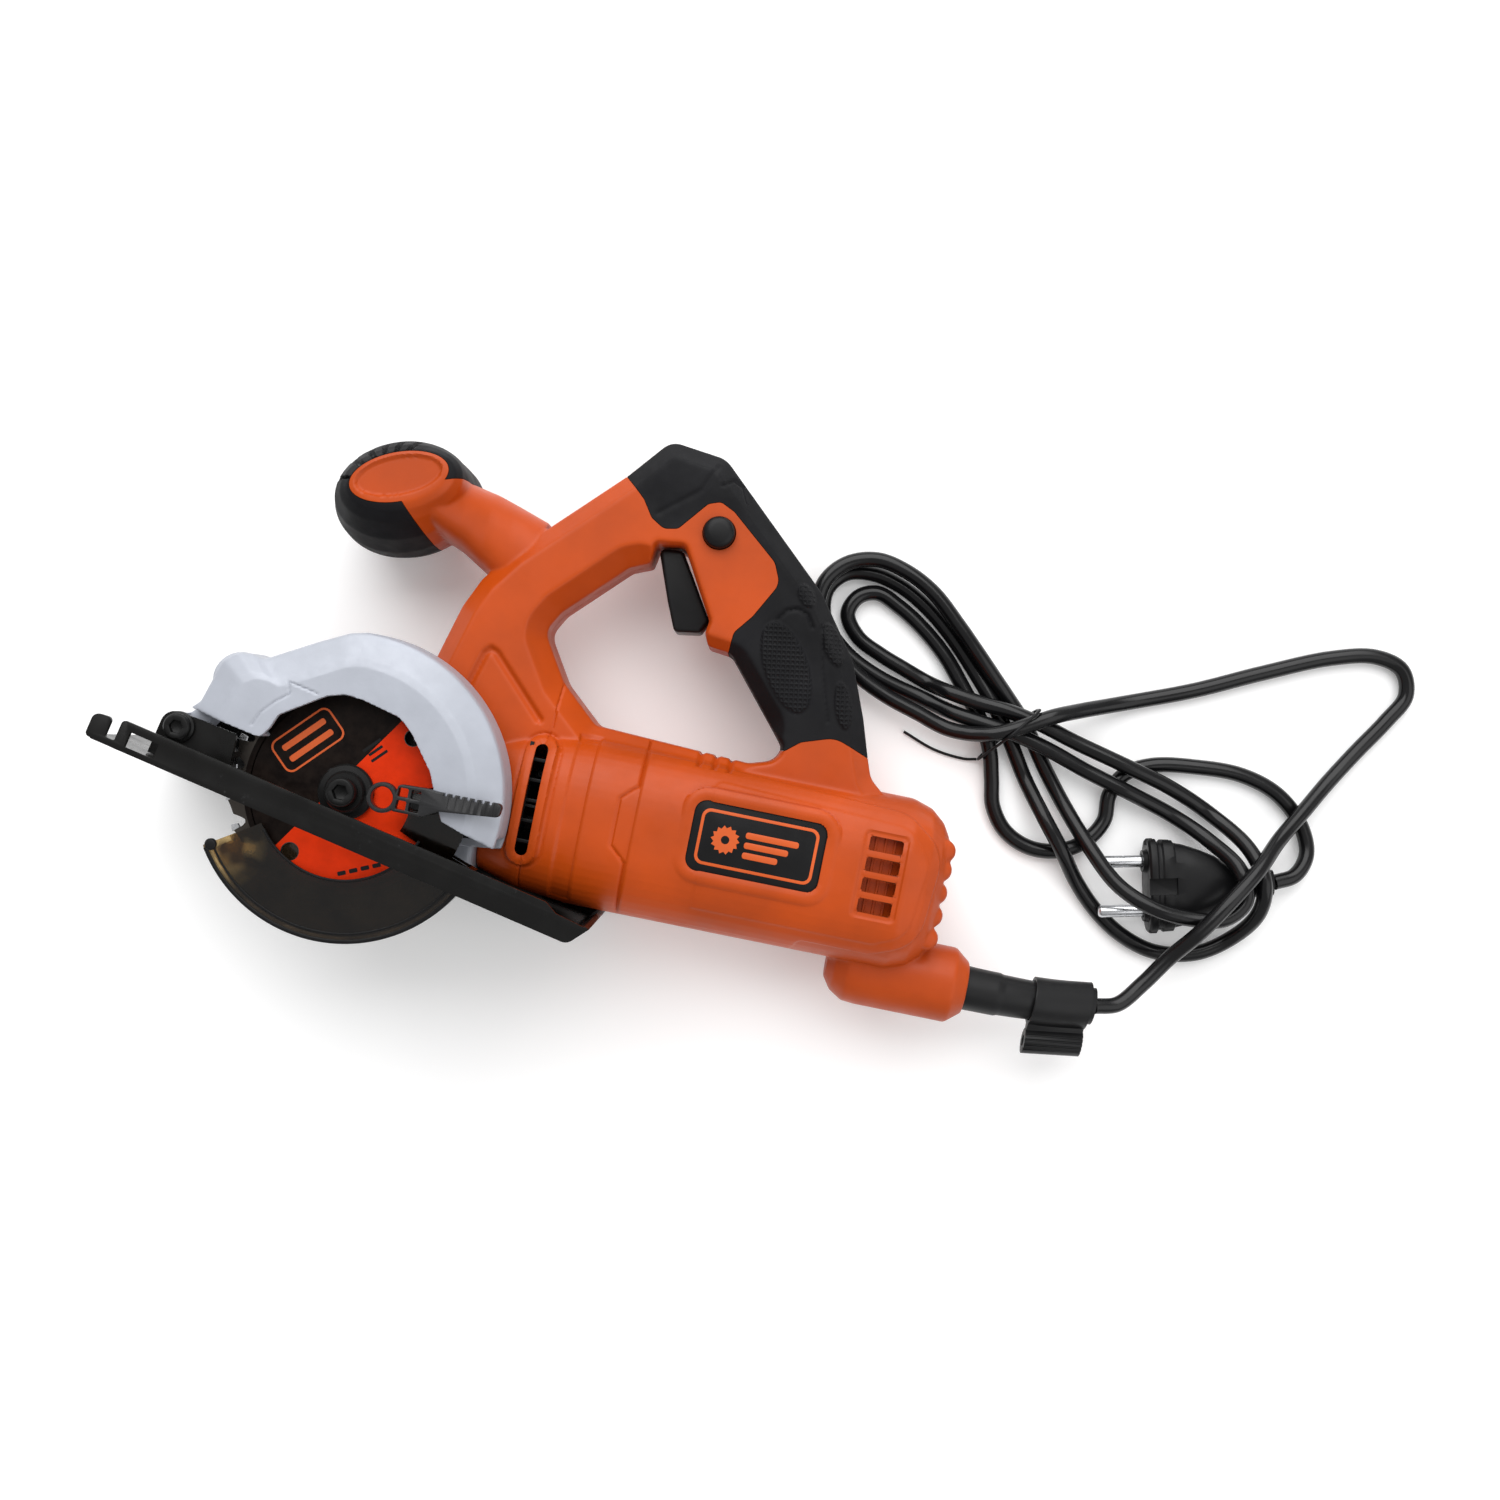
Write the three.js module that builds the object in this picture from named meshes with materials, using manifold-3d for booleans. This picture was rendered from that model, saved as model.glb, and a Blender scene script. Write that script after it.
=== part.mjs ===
// Compact corded circular saw with an 85 mm blade, lying on its right side.
// Units are millimetres. +X runs along the motor towards the cord, +Y towards the handle and
// +Z away from the floor, along the blade spindle. The blade axis is at x = 0, y = 0 until the
// whole saw is shifted at the end, so that its box stands centred on the origin.
import * as THREE from 'three';
import { ConvexGeometry } from 'three/addons/geometries/ConvexGeometry.js';
import { mergeVertices } from 'three/addons/utils/BufferGeometryUtils.js';
import Module from 'manifold-3d';

const wasm = await Module();
wasm.setup();

// ---- Driving dimensions ----
const GAP = 0.3; // between touching pieces
const SPLIT_Z = 33; // plane where the two housing halves meet, and the height of the motor axis
const WALL = 2.4; // housing wall
const RUBBER = 2.2; // thickness of the moulded-on rubber

const BARREL_Y = 5.25; // centre of the motor barrel's section
const BARREL_HALF_Y = 31.75;
const BARREL_HALF_Z = 33;
const BARREL_FRONT = 46;
const BARREL_REAR = 214;
const HANDLE_LOW = 13; // the handle's two faces
const HANDLE_HIGH = 53;

const BLADE_R = 42.5;
const BLADE_LOW = 73.3;
const BLADE_HIGH = 74.6;
const BLADE_TEETH = 24;
const BLADE_TURN = 4.3; // degrees, where its first tooth stands
const BORE_R = 5;

const GUARD_OUTER = 56.5;
const GUARD_WALL = 2.6;
const GUARD_LOW = 62;
const GUARD_HIGH = 86;

const CUT_DIRECTION = Math.atan2(-0.2055, 0.9787); // slope of the shoe at full depth
const SOLE_DISTANCE = 15.5; // from the blade axis to the sole
const SHOE_FRONT = -85;
const SHOE_REAR = 98;
const SHOE_WIDTH = 97;
const SHOE_PLATE = 1.6;
const FLANGE = 10.3;
const PIVOT_ALONG = -60.2; // shoe pivot, along the sole and above it
const PIVOT_UP = 14.2;

const MODULE = 0.7; // gear tooth size
const PINION_TEETH = 8;
const CROWN_TEETH = 28;

const KNOB_TILT = THREE.MathUtils.degToRad(22);

// ---- Materials ----
const paint = (name, color, roughness, metalness) => {
  const material = new THREE.MeshStandardMaterial({ color, roughness, metalness });
  material.name = name;
  return material;
};
const ORANGE = paint('orange_plastic', 0xd95e28, 0.5, 0);
const RUBBER_BLACK = paint('black_rubber', 0x232326, 0.8, 0);
const PLASTIC_BLACK = paint('black_plastic', 0x1c1c1e, 0.45, 0);
const PLASTIC_GREY = paint('grey_plastic', 0x46484b, 0.55, 0);
const SMOKE = paint('smoky_plastic', 0x2b2118, 0.12, 0);
const CAST = paint('cast_aluminium', 0xc3c8d2, 0.4, 0.5);
const STEEL = paint('bright_steel', 0xb8bcc2, 0.28, 1);
const DARK_STEEL = paint('blackened_steel', 0x1d1d1f, 0.45, 0.6);
const PAINTED = paint('black_paint', 0x141416, 0.35, 0.3);
const COPPER = paint('copper_wire', 0xb06a32, 0.4, 0.9);
const LAMINATION = paint('lamination_steel', 0x6c6e72, 0.5, 0.8);
const BRASS = paint('brass', 0xc9a24c, 0.35, 0.9);
const CARBON = paint('carbon', 0x2a2a2c, 0.7, 0.1);
const NYLON = paint('white_nylon', 0xd9d7cf, 0.5, 0);

// ---- Solids ----
const solidOf = (geometry) => {
  const bare = geometry.index ? geometry.toNonIndexed() : geometry.clone();
  bare.deleteAttribute('normal');
  bare.deleteAttribute('uv');
  const merged = mergeVertices(bare, 1e-4);
  return new wasm.Manifold(new wasm.Mesh({
    numProp: 3,
    vertProperties: merged.attributes.position.array,
    triVerts: new Uint32Array(merged.index.array),
  }));
};
const geometryOf = (solid) => {
  const mesh = solid.getMesh();
  const geometry = new THREE.BufferGeometry();
  geometry.setAttribute('position', new THREE.BufferAttribute(mesh.vertProperties, mesh.numProp));
  geometry.setIndex(new THREE.BufferAttribute(mesh.triVerts, 1));
  geometry.computeVertexNormals();
  return geometry;
};
// Drops the paper-thin scraps that a cut along a shared face can leave.
const largest = (solid) => solid.decompose().sort((a, b) => b.volume() - a.volume())[0];
const join = (...solids) => solids.reduce((whole, piece) => whole.add(piece));
const cut = (solid, ...tools) => tools.reduce((rest, tool) => rest.subtract(tool), solid);

// Outline through [x, y] or [x, y, r] points, each corner with an r rounded by an arc of that radius.
const outline = (points, steps = 3) => {
  const round = [];
  points.forEach(([x, y, r], i) => {
    const here = new THREE.Vector2(x, y);
    if (!r) {
      round.push(here);
      return;
    }
    const before = new THREE.Vector2(...points.at(i - 1).slice(0, 2)).sub(here).normalize();
    const after = new THREE.Vector2(...points[(i + 1) % points.length].slice(0, 2)).sub(here).normalize();
    const half = Math.acos(THREE.MathUtils.clamp(before.dot(after), -1, 1)) / 2;
    const reach = r / Math.tan(half);
    const centre = before.clone().add(after).normalize().multiplyScalar(r / Math.sin(half)).add(here);
    const start = before.multiplyScalar(reach).add(here).sub(centre);
    const end = after.multiplyScalar(reach).add(here).sub(centre);
    const sweep = Math.atan2(start.cross(end), start.dot(end));
    for (let k = 0; k <= steps; k += 1) {
      round.push(start.clone().rotateAround(new THREE.Vector2(), sweep * k / steps).add(centre));
    }
  });
  return round;
};
const arc = (x, y, r, from, to, steps) => Array.from({ length: steps + 1 }, (_, k) => {
  const angle = THREE.MathUtils.degToRad(from + (to - from) * k / steps);
  return [x + r * Math.cos(angle), y + r * Math.sin(angle)];
});
// Straight prism over an outline, between two heights, with an optional bevel and inset.
// A negative bevel flares the two ends outwards, as the tool for a chamfered opening does.
const prism = (points, low, high, { bevel = 0, bevelDepth = Math.abs(bevel), inset = 0, steps = 3 } = {}) => {
  const depth = bevelDepth;
  const geometry = new THREE.ExtrudeGeometry(new THREE.Shape(outline(points, steps)), {
    depth: high - low - 2 * depth - 2 * inset,
    bevelEnabled: depth + inset !== 0,
    bevelThickness: depth || 0.01,
    bevelSize: bevel,
    bevelOffset: -bevel - inset,
    bevelSegments: 1,
    curveSegments: 1,
  });
  geometry.translate(0, 0, low + depth + inset);
  return solidOf(geometry);
};
const box = (x0, x1, y0, y1, z0, z1) => {
  const geometry = new THREE.BoxGeometry(x1 - x0, y1 - y0, z1 - z0);
  geometry.translate((x0 + x1) / 2, (y0 + y1) / 2, (z0 + z1) / 2);
  return solidOf(geometry);
};
// Turned solid about the Z axis: profile of [radius, z] points, standing at (x, y).
const turned = (profile, x = 0, y = 0, sides = 24) => {
  const geometry = new THREE.LatheGeometry(profile.map(([r, z]) => new THREE.Vector2(r, z)), sides);
  geometry.rotateX(Math.PI / 2);
  geometry.translate(x, y, 0);
  return solidOf(geometry);
};
const rod = (r, z0, z1, x = 0, y = 0, sides = 24) => turned([[0, z0], [r, z0], [r, z1], [0, z1]], x, y, sides);
const ring = (inner, outer, z0, z1, x = 0, y = 0, sides = 24) => (
  turned([[inner, z0], [outer, z0], [outer, z1], [inner, z1], [inner, z0]], x, y, sides)
);
// The same turned solids lying along X, at height z and offset y.
const alongX = (solid, y = 0, z = SPLIT_Z) => solid.rotate([0, 90, 0]).translate([0, y, z]);
const rodX = (r, x0, x1, y = 0, z = SPLIT_Z, sides = 24) => alongX(rod(r, x0, x1, 0, 0, sides), y, z);
const ringX = (inner, outer, x0, x1, y = 0, z = SPLIT_Z, sides = 24) => (
  alongX(ring(inner, outer, x0, x1, 0, 0, sides), y, z)
);
const hull = (rings) => solidOf(new ConvexGeometry(rings.flat()));
// Skin through rings of equal length, each at its own height, closed by flat ends.
const loft = (rings) => {
  const flat = rings[0].map((p) => new THREE.Vector2(p.x, p.y));
  const flip = THREE.ShapeUtils.isClockWise(flat);
  const ordered = flip ? rings.map((points) => [...points].reverse()) : rings;
  const count = flat.length;
  const geometry = new THREE.BufferGeometry().setFromPoints(ordered.flat());
  const faces = [];
  ordered.slice(1).forEach((_, level) => {
    for (let k = 0; k < count; k += 1) {
      const [a, b] = [level * count + k, level * count + (k + 1) % count];
      faces.push(a, b, b + count, a, b + count, a + count);
    }
  });
  const capOf = (points) => THREE.ShapeUtils.triangulateShape(points.map((p) => new THREE.Vector2(p.x, p.y)), []);
  const top = (rings.length - 1) * count;
  capOf(ordered[0]).forEach(([a, b, c]) => faces.push(a, c, b));
  capOf(ordered.at(-1)).forEach(([a, b, c]) => faces.push(top + a, top + b, top + c));
  geometry.setIndex(faces);
  return solidOf(geometry);
};
// Prism over an outline whose top edge leans inwards towards a centre, as a cast cover's does.
const domed = (points, [cx, cy], low, shoulder, high, inwards) => {
  const level = (z, shift) => points.map(([x, y]) => {
    const out = new THREE.Vector2(x - cx, y - cy);
    out.setLength(out.length() - shift);
    return new THREE.Vector3(cx + out.x, cy + out.y, z);
  });
  return loft([level(low, 0), level(shoulder, 0), level(high, inwards)]);
};
const hullChain = (rings) => join(...rings.slice(1).map((next, i) => hull([rings[i], next])));
// Rounded-square section across X.
const sectionX = (x, y, z, halfY, halfZ, sides = 20, power = 3) => (
  Array.from({ length: sides }, (_, k) => {
    const angle = 2 * Math.PI * (k + 0.5) / sides;
    const [c, s] = [Math.cos(angle), Math.sin(angle)];
    const bulge = (Math.abs(c) ** power + Math.abs(s) ** power) ** (-1 / power);
    return new THREE.Vector3(x, y + halfY * bulge * c, z + halfZ * bulge * s);
  })
);
// Oval section across Z, its long axis turned by tilt.
const sectionZ = (z, x, y, long, short, tilt = 0, sides = 16) => (
  Array.from({ length: sides }, (_, k) => {
    const angle = 2 * Math.PI * k / sides;
    const flat = new THREE.Vector2(long * Math.cos(angle), short * Math.sin(angle));
    flat.rotateAround(new THREE.Vector2(), tilt);
    return new THREE.Vector3(x + flat.x, y + flat.y, z);
  })
);
const lowerHalf = box(-200, 500, -200, 300, -50, SPLIT_Z - GAP / 2);
const upperHalf = box(-200, 500, -200, 300, SPLIT_Z + GAP / 2, 150);

const saw = new THREE.Group();
const solids = {};
const add = (name, whole, material, parent = saw) => {
  const solid = whole.simplify(0.004); // closes slivers that two almost equal edges leave
  const mesh = new THREE.Mesh(geometryOf(solid), material.clone());
  mesh.name = name;
  parent.add(mesh);
  solids[name] = solid;
  return mesh;
};

// ---- Housing: outer form and hollow, built from the same pieces at two insets ----
const handleOutside = [
  [14, 20], [14, 40], [16, 51], [22, 73], [27, 84], [17, 92], [13, 104], [17, 118], [50, 110], [72, 132],
  [86, 148], [106, 145], [121, 131], [150, 104], [166, 82], [174, 62], [178, 48], [186, 34],
  [186, 12], [46, 12], [46, 20],
];
const handleOpening = [
  [79, 40], [64, 53], [53.5, 70], [58, 78], [79, 99], [88, 101.5], [97, 101.5], [111, 81],
  [113, 76.5], [122, 76], [148, 46], [149, 41], [142, 38],
];
const barrelStations = [
  [BARREL_FRONT, 0.8], [80, 1], [199, 1], [208, 0.88], [BARREL_REAR - 0.5, 0.68],
];
const glandStations = [[179, 8.5], [187, 14], [227, 14], [231.5, 9.6]];
const GLAND_Y = -28;

const housingForm = (inset) => {
  const barrel = hull(barrelStations.map(([x, scale], i) => {
    const end = i === 0 ? inset : (i === barrelStations.length - 1 ? -inset : 0);
    const half = [BARREL_HALF_Y * scale - inset, BARREL_HALF_Z * scale - inset];
    return sectionX(x + end, BARREL_Y, SPLIT_Z, ...half);
  }));
  const gland = hull(glandStations.map(([x, r], i) => {
    const end = i === 0 ? inset : (i === glandStations.length - 1 ? -inset : 0);
    return sectionX(x + end, GLAND_Y, SPLIT_Z, r - inset, r - inset, 14, 2);
  }));
  const handle = cut(
    prism(handleOutside, HANDLE_LOW, HANDLE_HIGH, { bevel: 6, inset }),
    prism(handleOpening, HANDLE_LOW + 2 * inset, HANDLE_HIGH - 2 * inset, { bevel: -6, inset: -inset }),
  );
  return join(barrel, gland, handle);
};
const knobForm = (inset) => hullChain([
  [1, -5.5, 112, 19, 10], [8, -6, 111, 23, 14.5], [SPLIT_Z, -8, 108, 26, 21],
  [58, -6, 111, 23, 14.5], [65, -5.5, 112, 19, 10],
].map(([z, x, y, long, short], i, all) => {
  const end = i === 0 ? inset : (i === all.length - 1 ? -inset : 0);
  return sectionZ(z + end, x, y, long - inset, short - inset, KNOB_TILT);
}));

const rearGripOutline = [
  [60, 140], [72, 131], [80, 124], [84, 118], [89, 115], [94, 116], [103, 127.5], [107, 128.5],
  [113, 126], [131, 111], [134, 104], [127, 90], [121.5, 83], [121, 76], [119, 70], [147, 44],
  [153, 49], [165, 53], [179, 48], [190, 48], [190, 160], [60, 160],
];
const frontGripOutline = [[7, 80], [17.5, 124], [17.5, 140], [-45, 140], [-45, 80]];
const gripZone = (points, clearance) => prism(points, -5, 80, { inset: clearance, bevel: 0 });
const CAP_CLEAR = sectionZ(0, -5.5, 112, 17.2, 8.2, KNOB_TILT).map((p) => [p.x, p.y]);

const rearZone = gripZone(rearGripOutline, 0);
const frontZone = cut(gripZone(frontGripOutline, 0), prism(CAP_CLEAR, -10, 90));
const outerForm = join(
  cut(housingForm(0), rearZone),
  cut(knobForm(0), frontZone),
  housingForm(RUBBER + GAP),
  knobForm(RUBBER + GAP),
);

const innerForm = join(
  cut(housingForm(WALL), gripZone(rearGripOutline, -WALL - 0.8)),
  housingForm(WALL + RUBBER + GAP),
  knobForm(WALL + RUBBER + GAP),
);

// Screws that hold the halves together: [x, y, depth of the head below the split].
const HOUSING_SCREWS = [
  [-8, 108, 14], [30, 66, 12], [66, 113, 12], [160, 42.5, 12], [112, 29.5, 14],
];
const HEAD_R = 3.1;
const HEAD_TALL = 2.2;
const SHANK_R = 1.5;
const SHANK_UP = 11; // length of thread above the split

// Motor layout along X
const PINION_TIP = 8;
const FRONT_BEARING = [38.3, 45];
const FAN = [58, 67];
const STACK = [98, 144];
const STACK_R = 22.8;
const COMMUTATOR = [163, 176];
const REAR_BEARING = [197.5, 204];
const BEARING_R = 9.4;

const BADGE = { x: 144.8, y: 9.4, halfX: 24.5, halfY: 13.1, low: 64.9, high: 66.2 };
const roundedRect = (x, y, halfX, halfY, r) => [
  [x - halfX, y - halfY, r], [x + halfX, y - halfY, r], [x + halfX, y + halfY, r], [x - halfX, y + halfY, r],
];
const capsule = (x, y, halfX, halfY, steps = 6) => {
  const r = Math.min(halfX, halfY);
  return [
    ...arc(x + (halfX - r), y + (halfY - r), r, 0, 90, steps / 2),
    ...arc(x - (halfX - r), y + (halfY - r), r, 90, 180, steps / 2),
    ...arc(x - (halfX - r), y - (halfY - r), r, 180, 270, steps / 2),
    ...arc(x + (halfX - r), y - (halfY - r), r, 270, 360, steps / 2),
  ].filter(([px, py], i, all) => Math.hypot(px - all.at(i - 1)[0], py - all.at(i - 1)[1]) > 1e-3);
};
const SLOT = { x: 62.7, y: 9.4, halfX: 3.4, halfY: 21 };
const VENT = { x0: 184.7, x1: 195.2, y0: -5.7, tall: 4.4, pitch: 7.4, count: 4 };

const TRIGGER_PIVOT = [91.5, 106.5];
const TRIGGER_LOW = 23;
const TRIGGER_HIGH = 43;
const triggerOutline = [
  [88, 108.5, 2], [95, 90], [99.5, 79.5, 2], [109, 81, 2], [111.5, 86, 2], [97, 109.5, 3],
];
const LOCK = { x: 109, y: 117.3, r: 5.8, low: 46, high: 57 };

// Ribs and seats that hold the motor, added inside the hollow before it is split.
const rearWeb = cut(
  innerForm.intersect(box(196, 205.5, -40, 40, -10, 80)).subtract(box(190, 210, -60, -14.5, 0, 80)),
  rodX(BEARING_R + GAP, 190, 204.3),
  box(190, 200, -13, 20, 12, 54),
);
const frontWeb = innerForm.intersect(box(84, 88, -30, 21, -5, 70)).subtract(rodX(STACK_R - 1, 80, 90));
const bosses = HOUSING_SCREWS.map(([x, y]) => join(
  rod(5, -5, SPLIT_Z, x, y, 10),
  rod(3.9, SPLIT_Z, 80, x, y, 8),
).intersect(outerForm));
const screwHoles = HOUSING_SCREWS.flatMap(([x, y, depth]) => [
  rod(HEAD_R + GAP, -10, SPLIT_Z - depth, x, y, 12),
  rod(SHANK_R + GAP, 0, SPLIT_Z + SHANK_UP + GAP, x, y, 8),
]);
const badgePad = prism(roundedRect(BADGE.x, BADGE.y, BADGE.halfX + 3.2, BADGE.halfY + 3.2, 8), 60, 66);
const clampSeat = box(204, 216, -37, -19, 21, 29).intersect(outerForm);

const trigger = prism(triggerOutline, TRIGGER_LOW, TRIGGER_HIGH);
const about = (solid, [x, y], degrees) => (
  solid.translate([-x, -y, 0]).rotate([0, 0, degrees]).translate([x, y, 0])
);
const triggerSlot = prism(triggerOutline, TRIGGER_LOW - 0.5, TRIGGER_HIGH + 0.5, { inset: -0.5 });
const triggerRoom = join(...[0, 4, 9].map((turn) => about(triggerSlot, TRIGGER_PIVOT, turn)));

const shellForm = cut(
  join(cut(join(outerForm, badgePad), innerForm), rearWeb, frontWeb, ...bosses, clampSeat),
  ...screwHoles,
  prism(roundedRect(BADGE.x, BADGE.y, BADGE.halfX + GAP, BADGE.halfY + GAP, 5), BADGE.low - GAP, 80),
  prism(capsule(SLOT.x, SLOT.y, SLOT.halfX, SLOT.halfY), -10, 80),
  ...Array.from({ length: VENT.count }, (_, k) => {
    const y = VENT.y0 + k * VENT.pitch;
    return box(VENT.x0, VENT.x1, y, y + VENT.tall, -10, 80);
  }),
  triggerRoom,
  rod(LOCK.r + GAP, 40, 80, LOCK.x, LOCK.y, 20),
  rod(1.6, 16.7, 49.3, ...TRIGGER_PIVOT, 10),
  rodX(6, 40, 60),
  rodX(9, 222, 240, GLAND_Y),
);
add('left_housing', largest(shellForm.intersect(upperHalf)), ORANGE);
add('right_housing', largest(shellForm.intersect(lowerHalf)), ORANGE);
HOUSING_SCREWS.forEach(([x, y, depth], i) => {
  const head = SPLIT_Z - depth - GAP;
  add(`housing_screw_${i + 1}`, join(
    cut(rod(HEAD_R, head - HEAD_TALL, head, x, y, 12), box(x - 2, x + 2, y - 0.5, y + 0.5, 0, head - 1)),
    rod(SHANK_R, head - 0.1, SPLIT_Z + SHANK_UP, x, y, 8),
  ), STEEL);
});
add('badge_plate', prism(
  roundedRect(BADGE.x, BADGE.y, BADGE.halfX, BADGE.halfY, 4.7), BADGE.low, BADGE.high, { bevel: 0.4 },
), PLASTIC_BLACK);

// ---- Rubber moulded on the handle and on the front knob ----
const screwPassages = HOUSING_SCREWS.slice(0, 4).map(([x, y]) => rod(HEAD_R + 2.4, -10, SPLIT_Z - 5, x, y, 12));
const rearRubber = cut(
  housingForm(0).intersect(gripZone(rearGripOutline, GAP)), housingForm(RUBBER), ...screwPassages,
);
const frontRubber = cut(
  knobForm(0).intersect(gripZone(frontGripOutline, GAP)), knobForm(RUBBER), housingForm(-GAP),
  prism(sectionZ(0, -5.5, 112, 17.5, 8.5, KNOB_TILT).map((p) => [p.x, p.y]), -10, 90),
);
add('rear_grip_left', largest(rearRubber.intersect(upperHalf)), RUBBER_BLACK);
add('rear_grip_right', largest(rearRubber.intersect(lowerHalf)), RUBBER_BLACK);
add('front_grip_left', largest(frontRubber.intersect(upperHalf)), RUBBER_BLACK);
add('front_grip_right', largest(frontRubber.intersect(lowerHalf)), RUBBER_BLACK);

// ---- Gear case, bearings and the fixed upper guard ----
const NOSE_R = 13.2;
const CASE_HIGH = 61.7;
const SPINDLE_R = 4;
const CHAMBER_R = 11.4;
const BALL_BEARING = [56, 64];
const CLAMP_BOLT = [34, 3];
const GUARD_SCREWS = [[3, 19.5], [24, -11]];
const caseOutline = [
  ...arc(0, 0, NOSE_R, 150, 258, 6), [45.6, -21.5], [45.6, 19.6], [11.5, 19.6], [9, 24, 2], [-4, 24, 2],
];
const gearCase = cut(
  join(prism(caseOutline, 12, CASE_HIGH, { bevel: 1.5 }), rod(NOSE_R, 50, 69.5, 0, 0, 28)),
  rod(CHAMBER_R, 24, 55.8),
  rod(BEARING_R + GAP, 55.7, BALL_BEARING[1] + GAP),
  rod(7, 60, 80, 0, 0, 16),
  rod(7.3, 13.7, 24.3, 0, 0, 16),
  rodX(BEARING_R + GAP, 38, 60),
  rodX(5, 0, 60, 0, SPLIT_Z, 16),
  rodX(2.2, -20, 0, 0, 49, 12),
  rod(2.4, 0, 24, ...CLAMP_BOLT, 12),
  ...GUARD_SCREWS.map(([x, y]) => rod(1.9, 52, 70, x, y, 10)),
);
add('gear_case', largest(gearCase), CAST);
const bearing = (name, inner, outer, length, place) => {
  const groove = (outer - inner) / 3;
  add(name, place(turned([
    [inner, 0], [inner + groove, 0], [inner + groove, 0.6], [outer - groove, 0.6], [outer - groove, 0],
    [outer, 0], [outer, length], [inner, length], [inner, 0],
  ], 0, 0, 18)), STEEL);
};
bearing('spindle_bearing', SPINDLE_R + 0.15, BEARING_R, 7.6, (solid) => solid.translate([0, 0, BALL_BEARING[0] + 0.2]));
add('spindle_bush', ring(SPINDLE_R + 0.1, 7, 14, 22, 0, 0, 20), BRASS);
bearing('motor_front_bearing', 3.15, BEARING_R, 6.4, (solid) => alongX(solid.translate([0, 0, FRONT_BEARING[0] + 0.2])));
bearing('motor_rear_bearing', 3.15, BEARING_R, 6, (solid) => alongX(solid.translate([0, 0, REAR_BEARING[0] + 0.3])));

const roundTop = arc(0, 0, GUARD_OUTER, 93, -10, 16);
const silhouette = [
  [-57, 17], [-52, 33], [-50, 37], [-46, 40], [-41, 41], [-37, 40], [-20, 49.5], [-8, 55], ...roundTop,
  [12, -15], [-14, -10], [-33, 13.3], [-52, 17],
];
const guardCavity = [
  [-54.2, -60], [-54.2, 17], [-49.7, 31.6], [-48.2, 35], [-45, 37.3], [-41, 38.3], [-37.4, 37.3],
  [-21.2, 47.2], [-9, 52.4], ...arc(0, 0, GUARD_OUTER - GUARD_WALL, 93, 0, 14), [GUARD_OUTER - GUARD_WALL, -60],
];
const GUARD_SHOULDER = 81; // where the guard's wall starts to lean inwards
const CHAMFER = 10.5;
const GUARD_CENTRE = [0, 5];
const nearWindow = [
  [-33, 13.6], [-30, 13.6], [-28, 17], [-26, 22], [-10, 32], [-5, 33.3], [0, 32.8], [15, 29.3, 3], [20, 25],
  [29, 13], [31, 8], [36, -3], [60, -11], [60, -60], [-60, -60], [-60, 18.6],
];
const SPOUT = { x: -43.6, y: 31, r: 8 };
const LUG_R = 5.2;
const soleDirection = new THREE.Vector2(Math.cos(CUT_DIRECTION), Math.sin(CUT_DIRECTION));
const soleUp = new THREE.Vector2(-soleDirection.y, soleDirection.x);
const soleFoot = soleUp.clone().multiplyScalar(-SOLE_DISTANCE);
const onShoe = (along, up) => soleFoot.clone().addScaledVector(soleDirection, along).addScaledVector(soleUp, up);
const pivot = onShoe(PIVOT_ALONG, PIVOT_UP);
const guardSkin = domed(silhouette, GUARD_CENTRE, GUARD_LOW, GUARD_SHOULDER, GUARD_HIGH, CHAMFER);
const guardHollow = domed(
  guardCavity, GUARD_CENTRE, GUARD_LOW + 3, GUARD_SHOULDER - 2.5, GUARD_HIGH - 2.5, CHAMFER,
);
const lug = hull([60, 80].map((z) => [
  ...sectionZ(z, pivot.x, pivot.y, LUG_R, LUG_R, 0, 16),
  new THREE.Vector3(-51, 17.4, z), new THREE.Vector3(-52.5, 24, z), new THREE.Vector3(-56, 20, z),
]));
const upperGuard = cut(
  join(
    cut(
      join(guardSkin, rod(18, GUARD_LOW, GUARD_LOW + 3, 0, 0, 28), rod(SPOUT.r + 2, 42, 80, SPOUT.x, SPOUT.y, 18)),
      guardHollow,
    ),
    lug,
  ),
  prism(nearWindow, 75, 99),
  rod(SPOUT.r, 30, 70, SPOUT.x, SPOUT.y, 18),
  rod(NOSE_R + GAP, 50, 70, 0, 0, 28),
  rod(2.6, 50, 90, pivot.x, pivot.y, 12),
  ...GUARD_SCREWS.map(([x, y]) => rod(2, 60, 70, x, y, 10)),
);
add('upper_guard', largest(upperGuard), CAST);
GUARD_SCREWS.forEach(([x, y], i) => {
  add(`guard_screw_${i + 1}`, join(rod(3.2, 65.3, 67.2, x, y, 6), rod(1.6, 54, 65.4, x, y, 8)), DARK_STEEL);
});

// ---- Spindle with its crown gear, flanges, blade and bolt ----
const PINION_PITCH = MODULE * PINION_TEETH / 2;
const CROWN_PITCH = MODULE * CROWN_TEETH / 2;
const MESH_Z = SPLIT_Z + PINION_PITCH;
const LOCK_Z = 49;
add('spindle', cut(
  join(rod(SPINDLE_R, 14, 70.2, 0, 0, 20), rod(6.4, 46, 52, 0, 0, 20)),
  rod(3.3, 58, 80, 0, 0, 12),
  box(-8, -4.1, -1.9, 1.9, 44, 54),
  box(4.1, 8, -1.9, 1.9, 44, 54),
  box(-1.9, 1.9, -8, -4.1, 44, 54),
  box(-1.9, 1.9, 4.1, 8, 44, 54),
), STEEL);
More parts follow.
